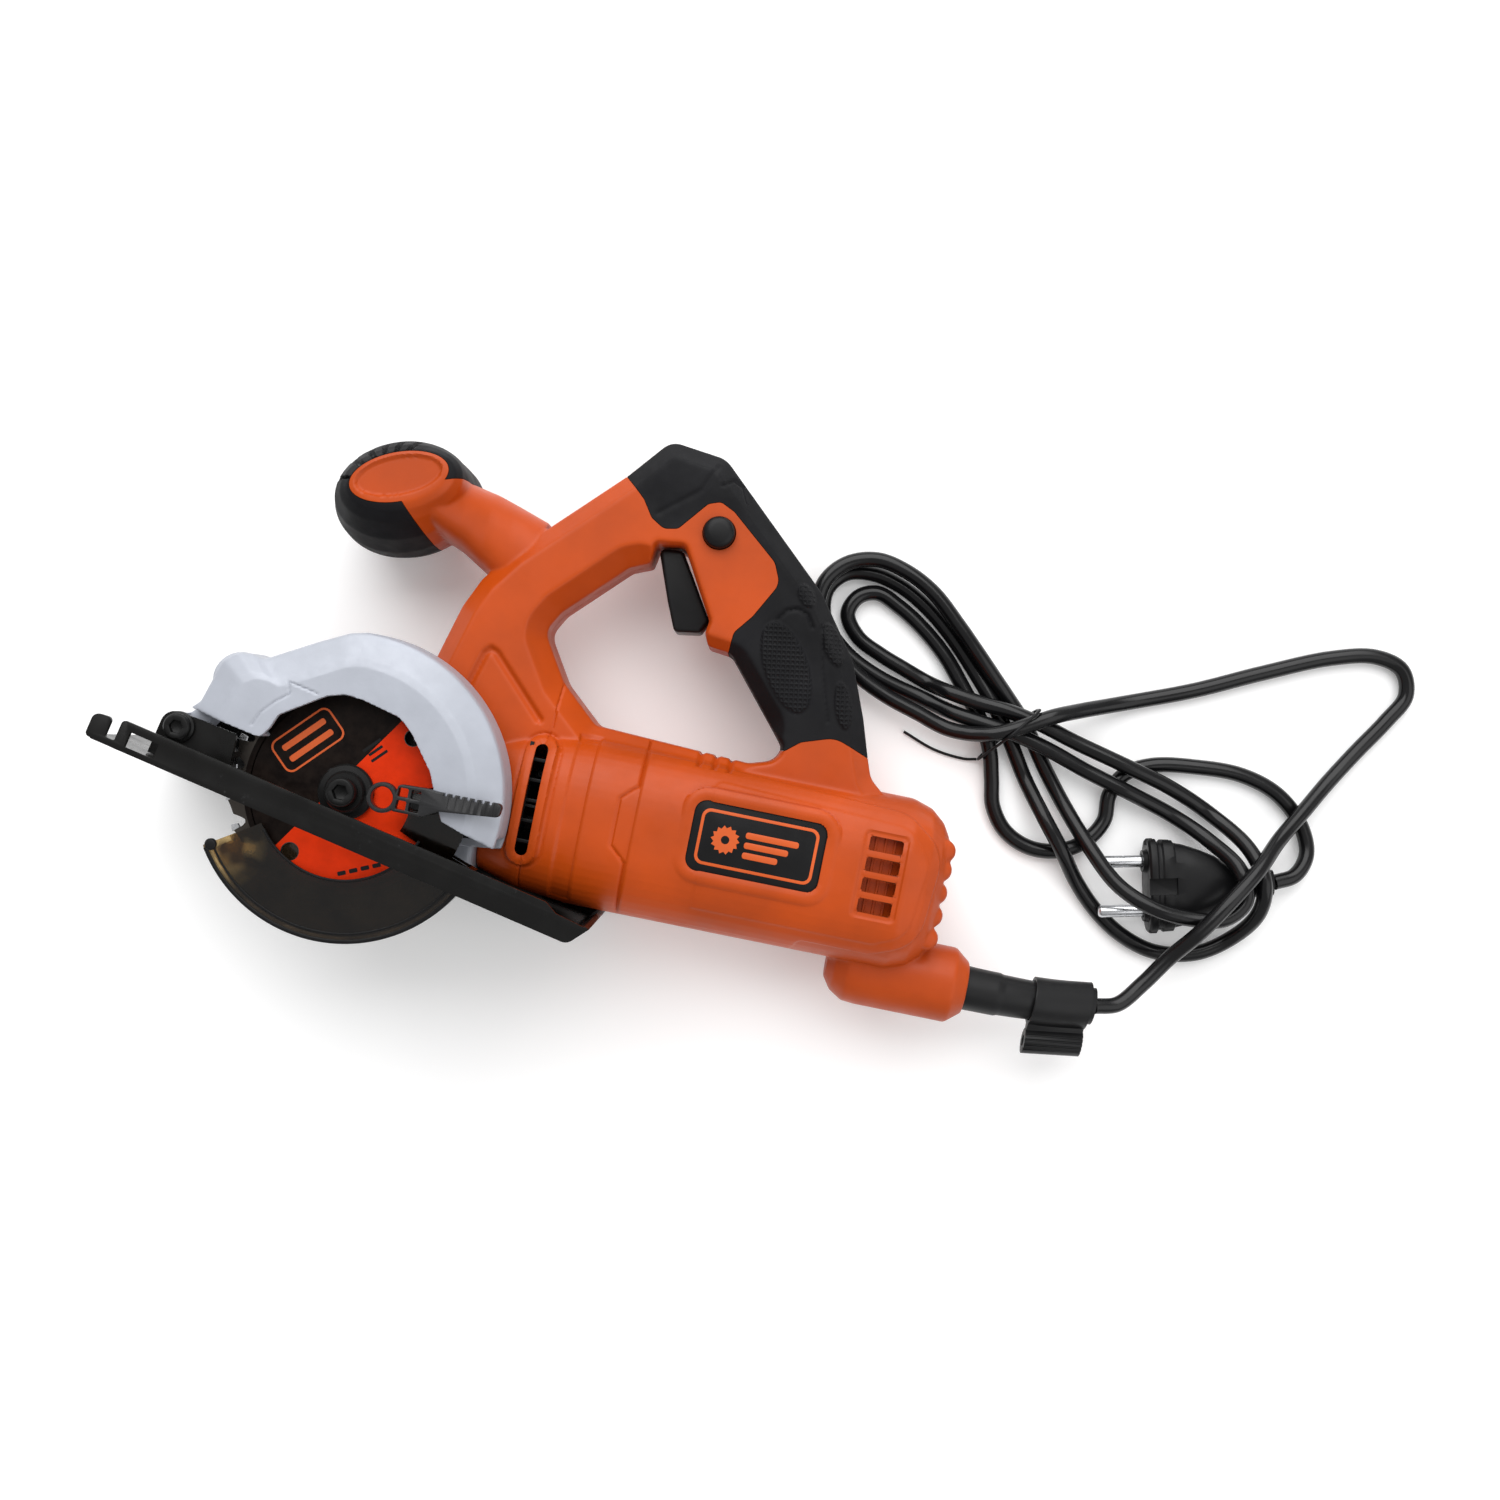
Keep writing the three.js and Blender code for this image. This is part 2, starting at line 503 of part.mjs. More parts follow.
// Crown teeth point down at the pinion; each is a bar that narrows towards its tip.
const crownTooth = hull([
  [[8.3, -0.55], [10.6, -0.6], [10.6, 0.6], [8.3, 0.55]].map(([x, y]) => new THREE.Vector3(x, y, MESH_Z + 1.2)),
  [[8.3, -0.26], [10.6, -0.28], [10.6, 0.28], [8.3, 0.26]].map(([x, y]) => new THREE.Vector3(x, y, MESH_Z - 0.55)),
]);
add('crown_gear', join(
  ring(SPINDLE_R + 0.1, 10.9, MESH_Z + 1, MESH_Z + 5, 0, 0, 28),
  ...Array.from({ length: CROWN_TEETH }, (_, k) => crownTooth.rotate([0, 0, (k + 0.5) * 360 / CROWN_TEETH])),
), STEEL);
add('inner_flange', join(
  ring(3.2, 10, 70.5, BLADE_LOW - GAP, 0, 0, 24), ring(3.2, BORE_R - GAP, 72, 74.3, 0, 0, 24),
), DARK_STEEL);
const toothOutline = Array.from({ length: BLADE_TEETH }, (_, k) => {
  const turn = (degrees, r) => {
    const angle = THREE.MathUtils.degToRad(k * 360 / BLADE_TEETH + BLADE_TURN + degrees);
    return [r * Math.cos(angle), r * Math.sin(angle)];
  };
  return [turn(0, BLADE_R), turn(-0.8, 37.6), turn(-4.5, 37), turn(-8.5, 40.6)].reverse();
}).reverse().flat();
// The toothed rim is ground a little thinner than the disc inside it.
const RIM_RELIEF = 0.15;
add('saw_blade', cut(
  join(
    prism(toothOutline.reverse(), BLADE_LOW + RIM_RELIEF, BLADE_HIGH - RIM_RELIEF),
    rod(34, BLADE_LOW, BLADE_HIGH, 0, 0, 40),
  ),
  rod(BORE_R, 70, 80, 0, 0, 24),
  rod(2.8, 70, 80, 19, 23, 12),
  rod(3, 70, 80, -15.5, -24.5, 12),
), STEEL);
add('outer_flange', join(
  ring(3.3, 9.8, BLADE_HIGH + GAP, 77.5, 0, 0, 24), ring(3.3, 7, 77, 80, 0, 0, 24),
), DARK_STEEL);
add('blade_bolt', cut(
  join(rod(5, 80.3, 86, 0, 0, 20), rod(3, 60, 80.4, 0, 0, 12)), rod(2.9, 82.5, 90, 0, 0, 6),
), DARK_STEEL);

// ---- Swinging lower guard and its lever ----
const GUARD_FRONT = 212; // degrees, end of the swinging guard ahead of the blade
const RIM_BACK = 340; // where its rim ends, under the housing
const LUG_BACK = 374; // where the inner part that carries the lever ends
const sector = (inner, outer, from, to, steps = 16) => [
  ...arc(0, 0, outer, from, to, steps), ...arc(0, 0, inner, to, from, steps),
];
const RIM_R = 52.9;
const WEB = [68, 69.6];
const NEAR_WALL = [76.4, 77.9];
add('lower_guard', join(
  ring(13.9, 18, WEB[0], WEB[1], 0, 0, 28),
  prism(sector(16, RIM_R, GUARD_FRONT, RIM_BACK), ...WEB),
  prism(sector(50.6, RIM_R, GUARD_FRONT, RIM_BACK), WEB[0], NEAR_WALL[1]),
  prism(sector(31, RIM_R, GUARD_FRONT, RIM_BACK), ...NEAR_WALL),
  prism(sector(23.5, 44, RIM_BACK - 4, LUG_BACK, 5), ...NEAR_WALL),
  prism(sector(43.2, 52, GUARD_FRONT, GUARD_FRONT + 2.5, 1), WEB[0], NEAR_WALL[1]),
), SMOKE);
const LEVER_LOW = 87;
const LEVER_HIGH = 91.5;
const leverBar = [[29, -1.5], [36, 0.8], [56, 2.6], [56, 7.6], [46, 7], [30, 6.5]];
add('guard_lever', cut(
  join(
    ring(3.7, 5.2, LEVER_LOW, LEVER_HIGH, 15.5, 1.5, 20),
    cut(prism([[19, -2.5], [30, -2], [31, 6.8], [20, 7.2]], LEVER_LOW, LEVER_HIGH),
      box(21.2, 24, -0.8, 5.4, 80, 95)),
    prism(leverBar, LEVER_LOW, LEVER_HIGH),
    rod(2.9, NEAR_WALL[1] + GAP, LEVER_LOW + 1, 27, 2.3, 12),
  ),
  rod(1.5, 70, 86, 27, 2.3, 10),
  ...[38, 42, 46, 50].map((x) => box(x, x + 1.4, 6.4, 9, 80, 95)),
), PLASTIC_GREY);

// ---- Shoe, pivot bracket and depth adjustment ----
const shoe = new THREE.Group();
shoe.position.set(soleFoot.x, soleFoot.y, 0);
shoe.rotation.z = CUT_DIRECTION;
saw.add(shoe);
const SHOE_SLOT = { front: -54.6, rear: 56, low: 56, high: 90 };
const edgeOn = (points, z0, z1, steps = 4) => prism(points, z0, z1, { steps });
const flangeOutline = [
  [SHOE_FRONT, 0, 1.5], [SHOE_REAR - 7, 0, 3], [SHOE_REAR, 5, 3], [SHOE_REAR - 1, FLANGE, 2.5],
  [SHOE_FRONT + 10, FLANGE], [SHOE_FRONT + 10, 2.5], [SHOE_FRONT + 6.5, 2.5], [SHOE_FRONT + 6.5, FLANGE - 1, 1],
  [SHOE_FRONT, FLANGE - 2.5, 3],
];
const fenceWindow = box(-71, -60.5, 2, 7.3, -5, 105);
add('shoe_plate', cut(
  join(
    box(SHOE_FRONT + 2, SHOE_REAR - 6, 0, SHOE_PLATE, 0, SHOE_WIDTH),
    edgeOn(flangeOutline, 0, SHOE_PLATE),
    edgeOn(flangeOutline, SHOE_WIDTH - SHOE_PLATE, SHOE_WIDTH),
    prism([[SHOE_REAR - 7, 0], [SHOE_REAR - 0.5, 4.6], [SHOE_REAR - 1.6, 5.6], [SHOE_REAR - 8, SHOE_PLATE]],
      0.5, SHOE_WIDTH - 0.5),
  ),
  box(SHOE_SLOT.front, SHOE_SLOT.rear, -2, 4, SHOE_SLOT.low, SHOE_SLOT.high),
  fenceWindow,
), PAINTED, shoe);
const EARS = [[56, 58], [82, 84]];
const earOutline = [
  [-67, SHOE_PLATE + GAP], [-67, PIVOT_UP + 4.5, 5], [PIVOT_ALONG + 5.5, PIVOT_UP + 4.5, 4], [-50, 14.6], [-39, 14.2],
  [-39, 5], [-54.8, SHOE_PLATE + GAP],
];
add('pivot_bracket', cut(
  join(
    ...EARS.map(([low, high]) => prism(earOutline, low, high)),
    box(-67, -55, SHOE_PLATE + GAP, SHOE_PLATE + GAP + 2, 56, 84),
  ),
  rod(2.6, 50, 90, PIVOT_ALONG, PIVOT_UP, 12),
), PAINTED, shoe);
const QUADRANT_Z = [8, 10];
const toShoe = ([x, y]) => {
  const away = new THREE.Vector2(x, y).sub(soleFoot);
  return [away.dot(soleDirection), away.dot(soleUp)];
};
const [boltAlong, boltUp] = toShoe(CLAMP_BOLT);
const boltReach = Math.hypot(boltAlong - PIVOT_ALONG, boltUp - PIVOT_UP);
const boltAngle = THREE.MathUtils.radToDeg(Math.atan2(boltUp - PIVOT_UP, boltAlong - PIVOT_ALONG));
const DEPTH_SWING = 27; // degrees between full depth and least depth
const sweep = (half, from, to, steps) => [
  ...arc(PIVOT_ALONG, PIVOT_UP, boltReach + half, from, to, steps),
  ...arc(PIVOT_ALONG, PIVOT_UP, boltReach - half, to, from, steps),
];
add('depth_quadrant', cut(
  join(
    prism(sweep(6.5, boltAngle - 5, boltAngle + DEPTH_SWING + 4.5, 8), ...QUADRANT_Z),
    prism([[26, SHOE_PLATE + GAP], [46, SHOE_PLATE + GAP], [41, 20], [29, 20]], ...QUADRANT_Z),
    box(26, 46, SHOE_PLATE + GAP, SHOE_PLATE + GAP + 2, 8, 11.5),
  ),
  prism(sweep(2.7, boltAngle - 2.2, boltAngle + DEPTH_SWING + 2.2, 8), 0, 20),
), PAINTED, shoe);
add('depth_bolt', join(rod(2.1, 4.2, 24, ...CLAMP_BOLT, 10), rod(4, 0.6, 2, ...CLAMP_BOLT, 6).add(
  rod(2.1, 1.9, 4.4, ...CLAMP_BOLT, 10))), STEEL);
add('depth_lever', cut(
  join(
    rod(7, 2.3, 7.7, ...CLAMP_BOLT, 18),
    prism([[CLAMP_BOLT[0] - 4, CLAMP_BOLT[1] + 5], [CLAMP_BOLT[0] + 4, CLAMP_BOLT[1] + 5], [CLAMP_BOLT[0] - 20, 36, 3],
      [CLAMP_BOLT[0] - 27, 34, 3]].reverse(), 2.3, 6.5),
  ),
  rod(2.3, -1, 10, ...CLAMP_BOLT, 12),
), PLASTIC_BLACK);
add('pivot_bolt', cut(
  join(rod(4.6, 84.3, 88.4, pivot.x, pivot.y, 16), rod(2.3, 50.5, 84.4, pivot.x, pivot.y, 10)),
  rod(2.4, 86, 90, pivot.x, pivot.y, 6),
), DARK_STEEL);
add('pivot_nut', cut(rod(4.3, 52, 55.7, pivot.x, pivot.y, 6), rod(2.45, 50, 60, pivot.x, pivot.y, 10)), DARK_STEEL);

// ---- Motor ----
const fanBlade = (turn) => alongX(
  hull([[9, -0.5], [9, 0.5], [19.6, 0.5], [19.6, -0.5]].map(([x, y]) => [
    new THREE.Vector3(x, y, FAN[0] + 1.4), new THREE.Vector3(x, y, FAN[1]),
  ])).rotate([0, 0, turn]),
);
const SHAFT_R = 3;
const pinionTooth = hull([
  [[1.6, -0.62], [1.6, 0.62], [PINION_PITCH + 0.55, 0.24], [PINION_PITCH + 0.55, -0.24]].flatMap(([x, y]) => [
    new THREE.Vector3(x, y, PINION_TIP), new THREE.Vector3(x, y, PINION_TIP + 7),
  ]),
]);
add('motor_shaft', join(
  rodX(1.85, PINION_TIP, PINION_TIP + 8, 0, SPLIT_Z, 16),
  ...Array.from({ length: PINION_TEETH }, (_, k) => alongX(pinionTooth.rotate([0, 0, k * 360 / PINION_TEETH]))),
  rodX(SHAFT_R, PINION_TIP + 7.4, REAR_BEARING[1], 0, SPLIT_Z, 16),
), STEEL);
add('cooling_fan', cut(
  join(
    rodX(8, FAN[0], FAN[1], 0, SPLIT_Z, 20), rodX(19.6, FAN[0], FAN[0] + 1.6, 0, SPLIT_Z, 24),
    ...Array.from({ length: 9 }, (_, k) => fanBlade(k * 40)),
  ),
  rodX(SHAFT_R + 0.1, 50, 80, 0, SPLIT_Z, 16),
), NYLON);
const slotCut = (turn) => alongX(box(8.6, 15, -1.6, 1.6, 90, 150).rotate([0, 0, turn]));
add('armature_core', cut(
  rodX(14, STACK[0], STACK[1], 0, SPLIT_Z, 24),
  ...Array.from({ length: 12 }, (_, k) => slotCut(k * 30)),
  rodX(SHAFT_R + 0.1, 90, 150, 0, SPLIT_Z, 16),
), LAMINATION);
add('armature_winding', cut(
  join(
    rodX(12.6, STACK[0] - 9, STACK[0] - GAP, 0, SPLIT_Z, 20), rodX(12.6, STACK[1] + GAP, STACK[1] + 11, 0, SPLIT_Z, 20),
    ...Array.from({ length: 12 }, (_, k) => alongX(box(9, 12.2, -1.2, 1.2, 95, 150).rotate([0, 0, k * 30]))),
  ),
  rodX(SHAFT_R + 0.1, 80, 160, 0, SPLIT_Z, 16),
), COPPER);
add('commutator', cut(
  ringX(SHAFT_R + 0.1, 10, ...COMMUTATOR, 0, SPLIT_Z, 24),
  ...Array.from({ length: 12 }, (_, k) => alongX(box(9.4, 11, -0.25, 0.25, 150, 180).rotate([0, 0, k * 30 + 15]))),
), COPPER);
const fieldSlots = [[1, 1], [1, -1], [-1, 1], [-1, -1]].map(([a, b]) => (
  box(STACK[0] - 5, STACK[1] + 5, 13.2 * a - 2.2, 13.2 * a + 2.2, SPLIT_Z + 13.2 * b - 2.2, SPLIT_Z + 13.2 * b + 2.2)
));
add('stator_core', cut(ringX(14.6, STACK_R, ...STACK, 0, SPLIT_Z, 28), ...fieldSlots), LAMINATION);
[['field_coil_upper', 1], ['field_coil_lower', -1]].forEach(([name, side]) => {
  const half = side > 0 ? box(80, 170, 8, 40, 0, 80) : box(80, 170, -40, -8, 0, 80);
  const ends = [[STACK[0] - 10, STACK[0] - GAP], [STACK[1] + GAP, STACK[1] + 10]];
  add(name, join(
    ...ends.map(([from, to]) => ringX(14.8, 21.5, from, to, 0, SPLIT_Z, 20).intersect(half)),
    ...[1, -1].map((b) => box(STACK[0] - 1, STACK[1] + 1, 13.2 * side - 1.9, 13.2 * side + 1.9,
      SPLIT_Z + 13.2 * b - 1.9, SPLIT_Z + 13.2 * b + 1.9)),
  ), COPPER);
});
[['upper', 1], ['lower', -1]].forEach(([name, side]) => {
  const [near, far] = [10.3, 19.5];
  const span = (from, to) => (side > 0 ? [from, to] : [-to, -from]);
  add(`carbon_brush_${name}`, box(166, 172, ...span(near, far), SPLIT_Z - 2.5, SPLIT_Z + 2.5), CARBON);
  add(`brush_holder_${name}`, cut(
    box(164, 174, ...span(near + 2, far + 1.8), SPLIT_Z - 4.5, SPLIT_Z + 4.5),
    box(166 - GAP, 172 + GAP, ...span(near, far + GAP), SPLIT_Z - 2.5 - GAP, SPLIT_Z + 2.5 + GAP),
  ), BRASS);
});

// ---- Switch, trigger and lock-off button ----
add('switch_body', join(
  prism([[104, 112], [119, 92], [125, 97], [112, 114]].reverse(), 24, 42),
  prism([[110.4, 105.2], [104.6, 101.3], [106.7, 98.3], [112.5, 102.4]].reverse(), 30, 36),
), PLASTIC_BLACK);
add('trigger', join(trigger, rod(1.3, 17, 49, ...TRIGGER_PIVOT, 10)), PLASTIC_BLACK);
add('lock_button', join(
  turned([[0, LOCK.low + 3], [LOCK.r, LOCK.low + 3], [LOCK.r, LOCK.high - 1.2], [LOCK.r - 1.6, LOCK.high],
    [0, LOCK.high]], LOCK.x, LOCK.y, 20),
  rod(2, LOCK.low, LOCK.low + 4, LOCK.x, LOCK.y, 10),
), PLASTIC_BLACK);
add('spindle_lock', join(
  rodX(1.8, -17, -7.2, 0, LOCK_Z, 10), rodX(4, -19, -16.6, 0, LOCK_Z, 14),
), PLASTIC_BLACK);

// ---- Mains cord: where it is clamped, its sleeve, its route on the floor, its tie and its plug ----
const CORD_R = 3;
const CORD_STEPS = 80;
add('cord_clamp', box(206, 214, GLAND_Y - 8, GLAND_Y + 8, 36.4, 39.4), PLASTIC_BLACK);
const tubeAlong = (points, r, sides, steps) => {
  const section = new THREE.Shape(Array.from({ length: sides }, (_, k) => (
    new THREE.Vector2(r * Math.cos(2 * Math.PI * k / sides), r * Math.sin(2 * Math.PI * k / sides))
  )));
  const path = new THREE.CatmullRomCurve3(points.map((p) => new THREE.Vector3(...p)), false, 'centripetal');
  return solidOf(new THREE.ExtrudeGeometry(section, { extrudePath: path, steps }));
};
add('internal_lead', tubeAlong([
  [222, GLAND_Y, 33], [206, GLAND_Y, 33], [192, -25, 36], [183, -14, 47], [179, 6, 53], [177, 28, 45], [169.3, 46, 34],
  [160, 60, 28], [151, 71, 25], [138, 82, 26], [124.5, 89.5, 31],
], 2.7, 8, 24), PLASTIC_BLACK);

const sleevePath = [[223, -28, 33], [231.8, -28.4, 32.8], [249, -28.5, 31.5], [265, -28, 29], [281.5, -26.4, 25.6]];
const sleeveRings = (radii) => radii.map((r, i) => {
  const [x, y, z] = sleevePath[i];
  return sectionX(x, y, z, r, r, 16, 2);
});
const sleeveBore = hullChain([[215, -28, 33.2], ...sleevePath, [290, -25.6, 23]].map(([x, y, z]) => (
  sectionX(x, y, z, CORD_R + GAP, CORD_R + GAP, 10, 2)
)));
add('strain_relief', cut(hullChain(sleeveRings([8.6, 8.4, 8.2, 7.2, 6.6])), sleeveBore), RUBBER_BLACK);
const CLIP_FROM = 257.5;
const CLIP_TO = 279.4;
const clipRings = (r) => [sleevePath[2], sleevePath[3], sleevePath[4]].map(([x, y, z]) => sectionX(x, y, z, r, r, 16, 2));
add('hex_key_clip', cut(
  join(
    hullChain(clipRings(9)).intersect(box(CLIP_FROM, CLIP_TO, -60, 0, 0, 60)),
    hull([sectionX(CLIP_FROM, -43.8, 29.5, 4.7, 4.7, 14, 2), sectionX(CLIP_TO, -41.2, 26.5, 4.7, 4.7, 14, 2)]),
    hull([sectionX(CLIP_FROM, -36.5, 29.8, 4, 2, 8, 2), sectionX(CLIP_TO, -34.5, 26.6, 4, 2, 8, 2)]),
  ),
  hullChain(sleeveRings([9, 9, 8.5, 7.5, 6.9])),
  hull([sectionX(250, -44.7, 30.5, 2.6, 2.6, 10, 2), sectionX(290, -40, 25, 2.6, 2.6, 10, 2)]),
), RUBBER_BLACK);

// Route of the cord's centre line, from the sleeve to the plug, in its bundled loops.
const CORD_ROUTE = [
  [282.2, -26.3, 25.2], [291, -24, 23.4], [299, -15, 21.5], [307, -3, 22.5], [315, 8.5, 27], [323, 21, 28.2],
  [333, 36, 24], [341, 49, 15], [349, 61, 9.9], [358, 75, 5], [367, 89, 3.2], [376, 103, 3.2], [381.5, 114, 3.2],
  [378, 123.5, 3.2], [367, 126.5, 3.2], [350, 122.5, 3.2], [325, 111.5, 3.2], [300, 99.5, 3.2], [275, 89.5, 4],
  [257, 82.5, 11], [246.5, 78, 16.8], [236, 72, 17.4], [227, 67.6, 17], [218, 65.6, 13.8], [208, 65.8, 10.4],
  [196, 69.4, 9.6], [183, 73.4, 9.6], [170, 79.5, 9.6], [158, 89.5, 9.6], [150.5, 101, 9.6], [151, 112, 9.6],
  [158, 120.5, 9.6], [169, 124.2, 9.6], [181, 122, 9.6], [193, 116, 9.6], [205, 105.5, 9.6], [214, 97, 9],
  [223, 88.5, 6.8], [231, 81, 4.4], [239, 72.5, 4.4], [250, 57.5, 3.2], [261, 43.5, 6], [271, 31.5, 13.5],
  [283, 20.2, 18], [296, 14.5, 21.8], [312, 13, 21.8], [325, 15.5, 21.6], [331.5, 24, 21], [327.5, 34.5, 20],
  [316, 43.5, 10], [301, 50.3, 5.6], [283, 55.3, 9.6], [264, 60.5, 9.6], [248, 65.6, 10.4], [233.5, 69, 10.8],
  [222, 70.4, 10.8], [211, 72, 8.8], [198, 75.4, 3.2], [178, 80.6, 3.2], [164, 87.6, 3.2], [154, 98, 3.2],
  [152.5, 109.5, 3.2], [158.5, 117.2, 3.2], [169, 119.2, 3.2], [180, 116.8, 3.2], [191, 111.2, 3.2], [203, 102, 3.2],
  [215, 90, 3.2], [225, 78.5, 4.4], [233, 67.5, 4.4], [242.5, 53, 3.2], [252, 39.5, 9.6], [261, 28.5, 10.2],
  [270, 17.5, 5], [280, 8, 3.2], [291, 1, 3.2], [305, -3, 3.2], [321, -0.5, 3.2], [333, 8, 5], [339, 20, 14.5],
  [337.5, 32, 19.6], [330.5, 43.5, 14], [315, 54, 4.6], [297, 60.8, 8], [279, 65.3, 10], [258, 70.4, 9.8],
  [243, 74.6, 10.8], [230, 77, 10.9], [218, 78, 10.4], [207, 79.6, 9.4], [198, 82, 3.2], [188, 85.4, 3.2],
  [178, 89, 3.2], [168, 94, 3.2], [162.3, 102, 3.2], [165, 109.2, 3.2], [172, 112.2, 3.2], [181.5, 108.6, 3.2],
  [191.5, 102.6, 3.2], [202.5, 93.6, 3.2], [213, 81.6, 3.2], [221.5, 71, 4.4], [227, 60.5, 4.4], [230, 50, 3.2],
  [232.5, 40, 3.2], [239, 31.5, 3.2], [249.5, 27, 3.2], [261, 28, 3.2], [270.5, 33.8, 3.2], [276, 43, 3.2],
  [276, 53, 3.2], [280, 62, 3.2], [290, 67.8, 3.2], [307, 70.6, 3.2], [325, 71, 3.2], [340, 66.5, 3.2],
  [351, 57, 3.2], [355.5, 46, 4.5], [352, 37, 7], [344, 32.7, 8.8],
];
add('mains_cord', tubeAlong(CORD_ROUTE, CORD_R, 8, CORD_STEPS), PLASTIC_BLACK);

// ---- Plug and the tie that holds the folded cord together ----
const PLUG = { x: 296, y: 21.7, z: 8.8, turn: Math.atan2(0.223, 0.975) };
const PIN_SPACING = 19;
const PIN_R = 2.4;
const PIN_LONG = 19;
const onPlug = (solid) => (
  solid.rotate([0, 0, THREE.MathUtils.radToDeg(PLUG.turn)]).translate([PLUG.x, PLUG.y, PLUG.z])
);
const plugBody = cut(
  join(
    hullChain([
      [0, 18.3, 8.5], [8, 18.3, 8.5], [14, 16, 8.5], [26, 11, 7.5], [34, 6, 6], [48.3, 5, 4.6],
    ].map(([x, halfY, halfZ]) => sectionX(x, 0, 0, halfY, halfZ, 16, 3))),
  ),
  ...[1, -1].map((side) => rodX(PIN_R + GAP, -1, 5.3, side * PIN_SPACING / 2, 0, 12)),
);
add('plug_body', onPlug(plugBody), PLASTIC_BLACK);
[1, -1].forEach((side, i) => {
  add(`plug_pin_${i + 1}`, onPlug(rodX(PIN_R, -PIN_LONG, 5, side * PIN_SPACING / 2, 0, 12)), STEEL);
});

// The tie is a twisted wire hugging the strands; each is [offset across the tie, height].
const TIE = { x: 233.5, y: 70, turn: -38, wide: 1.8 };
const TIED_STRANDS = [[-2, 17.4], [8.1, 17.4], [6.5, 4.5], [8.2, 10.9], [-3.5, 10.8], [-13, 4.5], [-10, 4.5]];
const tieForm = (r, halfWide) => hull([-halfWide, halfWide].flatMap((x) => (
  TIED_STRANDS.map(([across, z]) => sectionX(x, across, z, r, r, 12, 2))
)));
const tieBand = cut(tieForm(CORD_R + 1.3, TIE.wide / 2), tieForm(CORD_R + 0.5, TIE.wide));
add('cord_tie', join(
  tieBand.rotate([0, 0, TIE.turn]).translate([TIE.x, TIE.y, 0]),
  tubeAlong([[223, 56.8, 2.6], [217, 56, 1.4], [206, 58, 1.1], [193, 61.5, 1.1]], 0.8, 6, 8),
), PLASTIC_BLACK);

// ---- The whole saw, shifted so that its box without the cord stands centred on the origin ----
const CORD_PIECES = ['mains_cord', 'plug_body', 'plug_pin_1', 'plug_pin_2', 'cord_tie'];
const sawBox = new THREE.Box3();
saw.updateMatrixWorld(true);
saw.traverse((piece) => {
  if (piece.isMesh && !CORD_PIECES.includes(piece.name)) sawBox.expandByObject(piece, true);
});
const middle = sawBox.getCenter(new THREE.Vector3());
saw.position.set(-middle.x, -middle.y, -sawBox.min.z);

export default saw;
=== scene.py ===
"""Looks of a compact corded circular saw that lies on its right side on a pale floor.

Pieces are modelled in millimetres in the saw's own axes, with the blade's axis at x = 0, y = 0
and the floor at z = 0, and are then moved to the frame, in metres, when they are placed.
"""
import math

import bmesh
import bpy
import numpy as np
from mathutils import Matrix, Vector


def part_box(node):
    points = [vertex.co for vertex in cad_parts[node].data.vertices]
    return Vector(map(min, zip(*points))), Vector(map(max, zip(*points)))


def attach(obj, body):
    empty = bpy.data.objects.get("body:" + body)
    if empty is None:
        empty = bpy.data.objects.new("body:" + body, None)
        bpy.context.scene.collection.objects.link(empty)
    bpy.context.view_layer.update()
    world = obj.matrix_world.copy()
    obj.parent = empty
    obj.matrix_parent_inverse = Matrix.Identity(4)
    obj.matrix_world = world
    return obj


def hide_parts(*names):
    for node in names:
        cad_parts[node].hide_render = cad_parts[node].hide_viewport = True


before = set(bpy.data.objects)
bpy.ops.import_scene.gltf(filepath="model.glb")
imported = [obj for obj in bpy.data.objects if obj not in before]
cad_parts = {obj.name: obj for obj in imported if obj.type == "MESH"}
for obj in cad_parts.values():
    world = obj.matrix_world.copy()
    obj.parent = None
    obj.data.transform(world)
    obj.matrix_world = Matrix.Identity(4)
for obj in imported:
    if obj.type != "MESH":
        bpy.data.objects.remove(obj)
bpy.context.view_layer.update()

# ---- Frame ----
MM = 0.001
spindle_low, spindle_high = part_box("spindle")
BLADE_AXIS = ((Vector(spindle_low) + Vector(spindle_high)) / 2).to_2d()
TO_FRAME = Matrix.Translation((BLADE_AXIS.x, BLADE_AXIS.y, 0)) @ Matrix.Scale(MM, 4)
SPLIT_Z = 33
SEAM = 0.15

scene = bpy.context.scene
scene.view_settings.view_transform = "Standard"


def placed(x, y, z):
    """A point of the saw's own axes, in the frame."""
    return TO_FRAME @ Vector((x, y, z))


# ---- Camera ----
CAMERA_TURN = math.radians(11.5)
camera = bpy.data.objects.new("camera", bpy.data.cameras.new("camera"))
camera.data.lens = 44.45
camera.data.sensor_width = 36
camera.location = placed(135.6, 42.5, 724)
camera.rotation_euler = (0, 0, CAMERA_TURN)
scene.collection.objects.link(camera)
scene.camera = camera


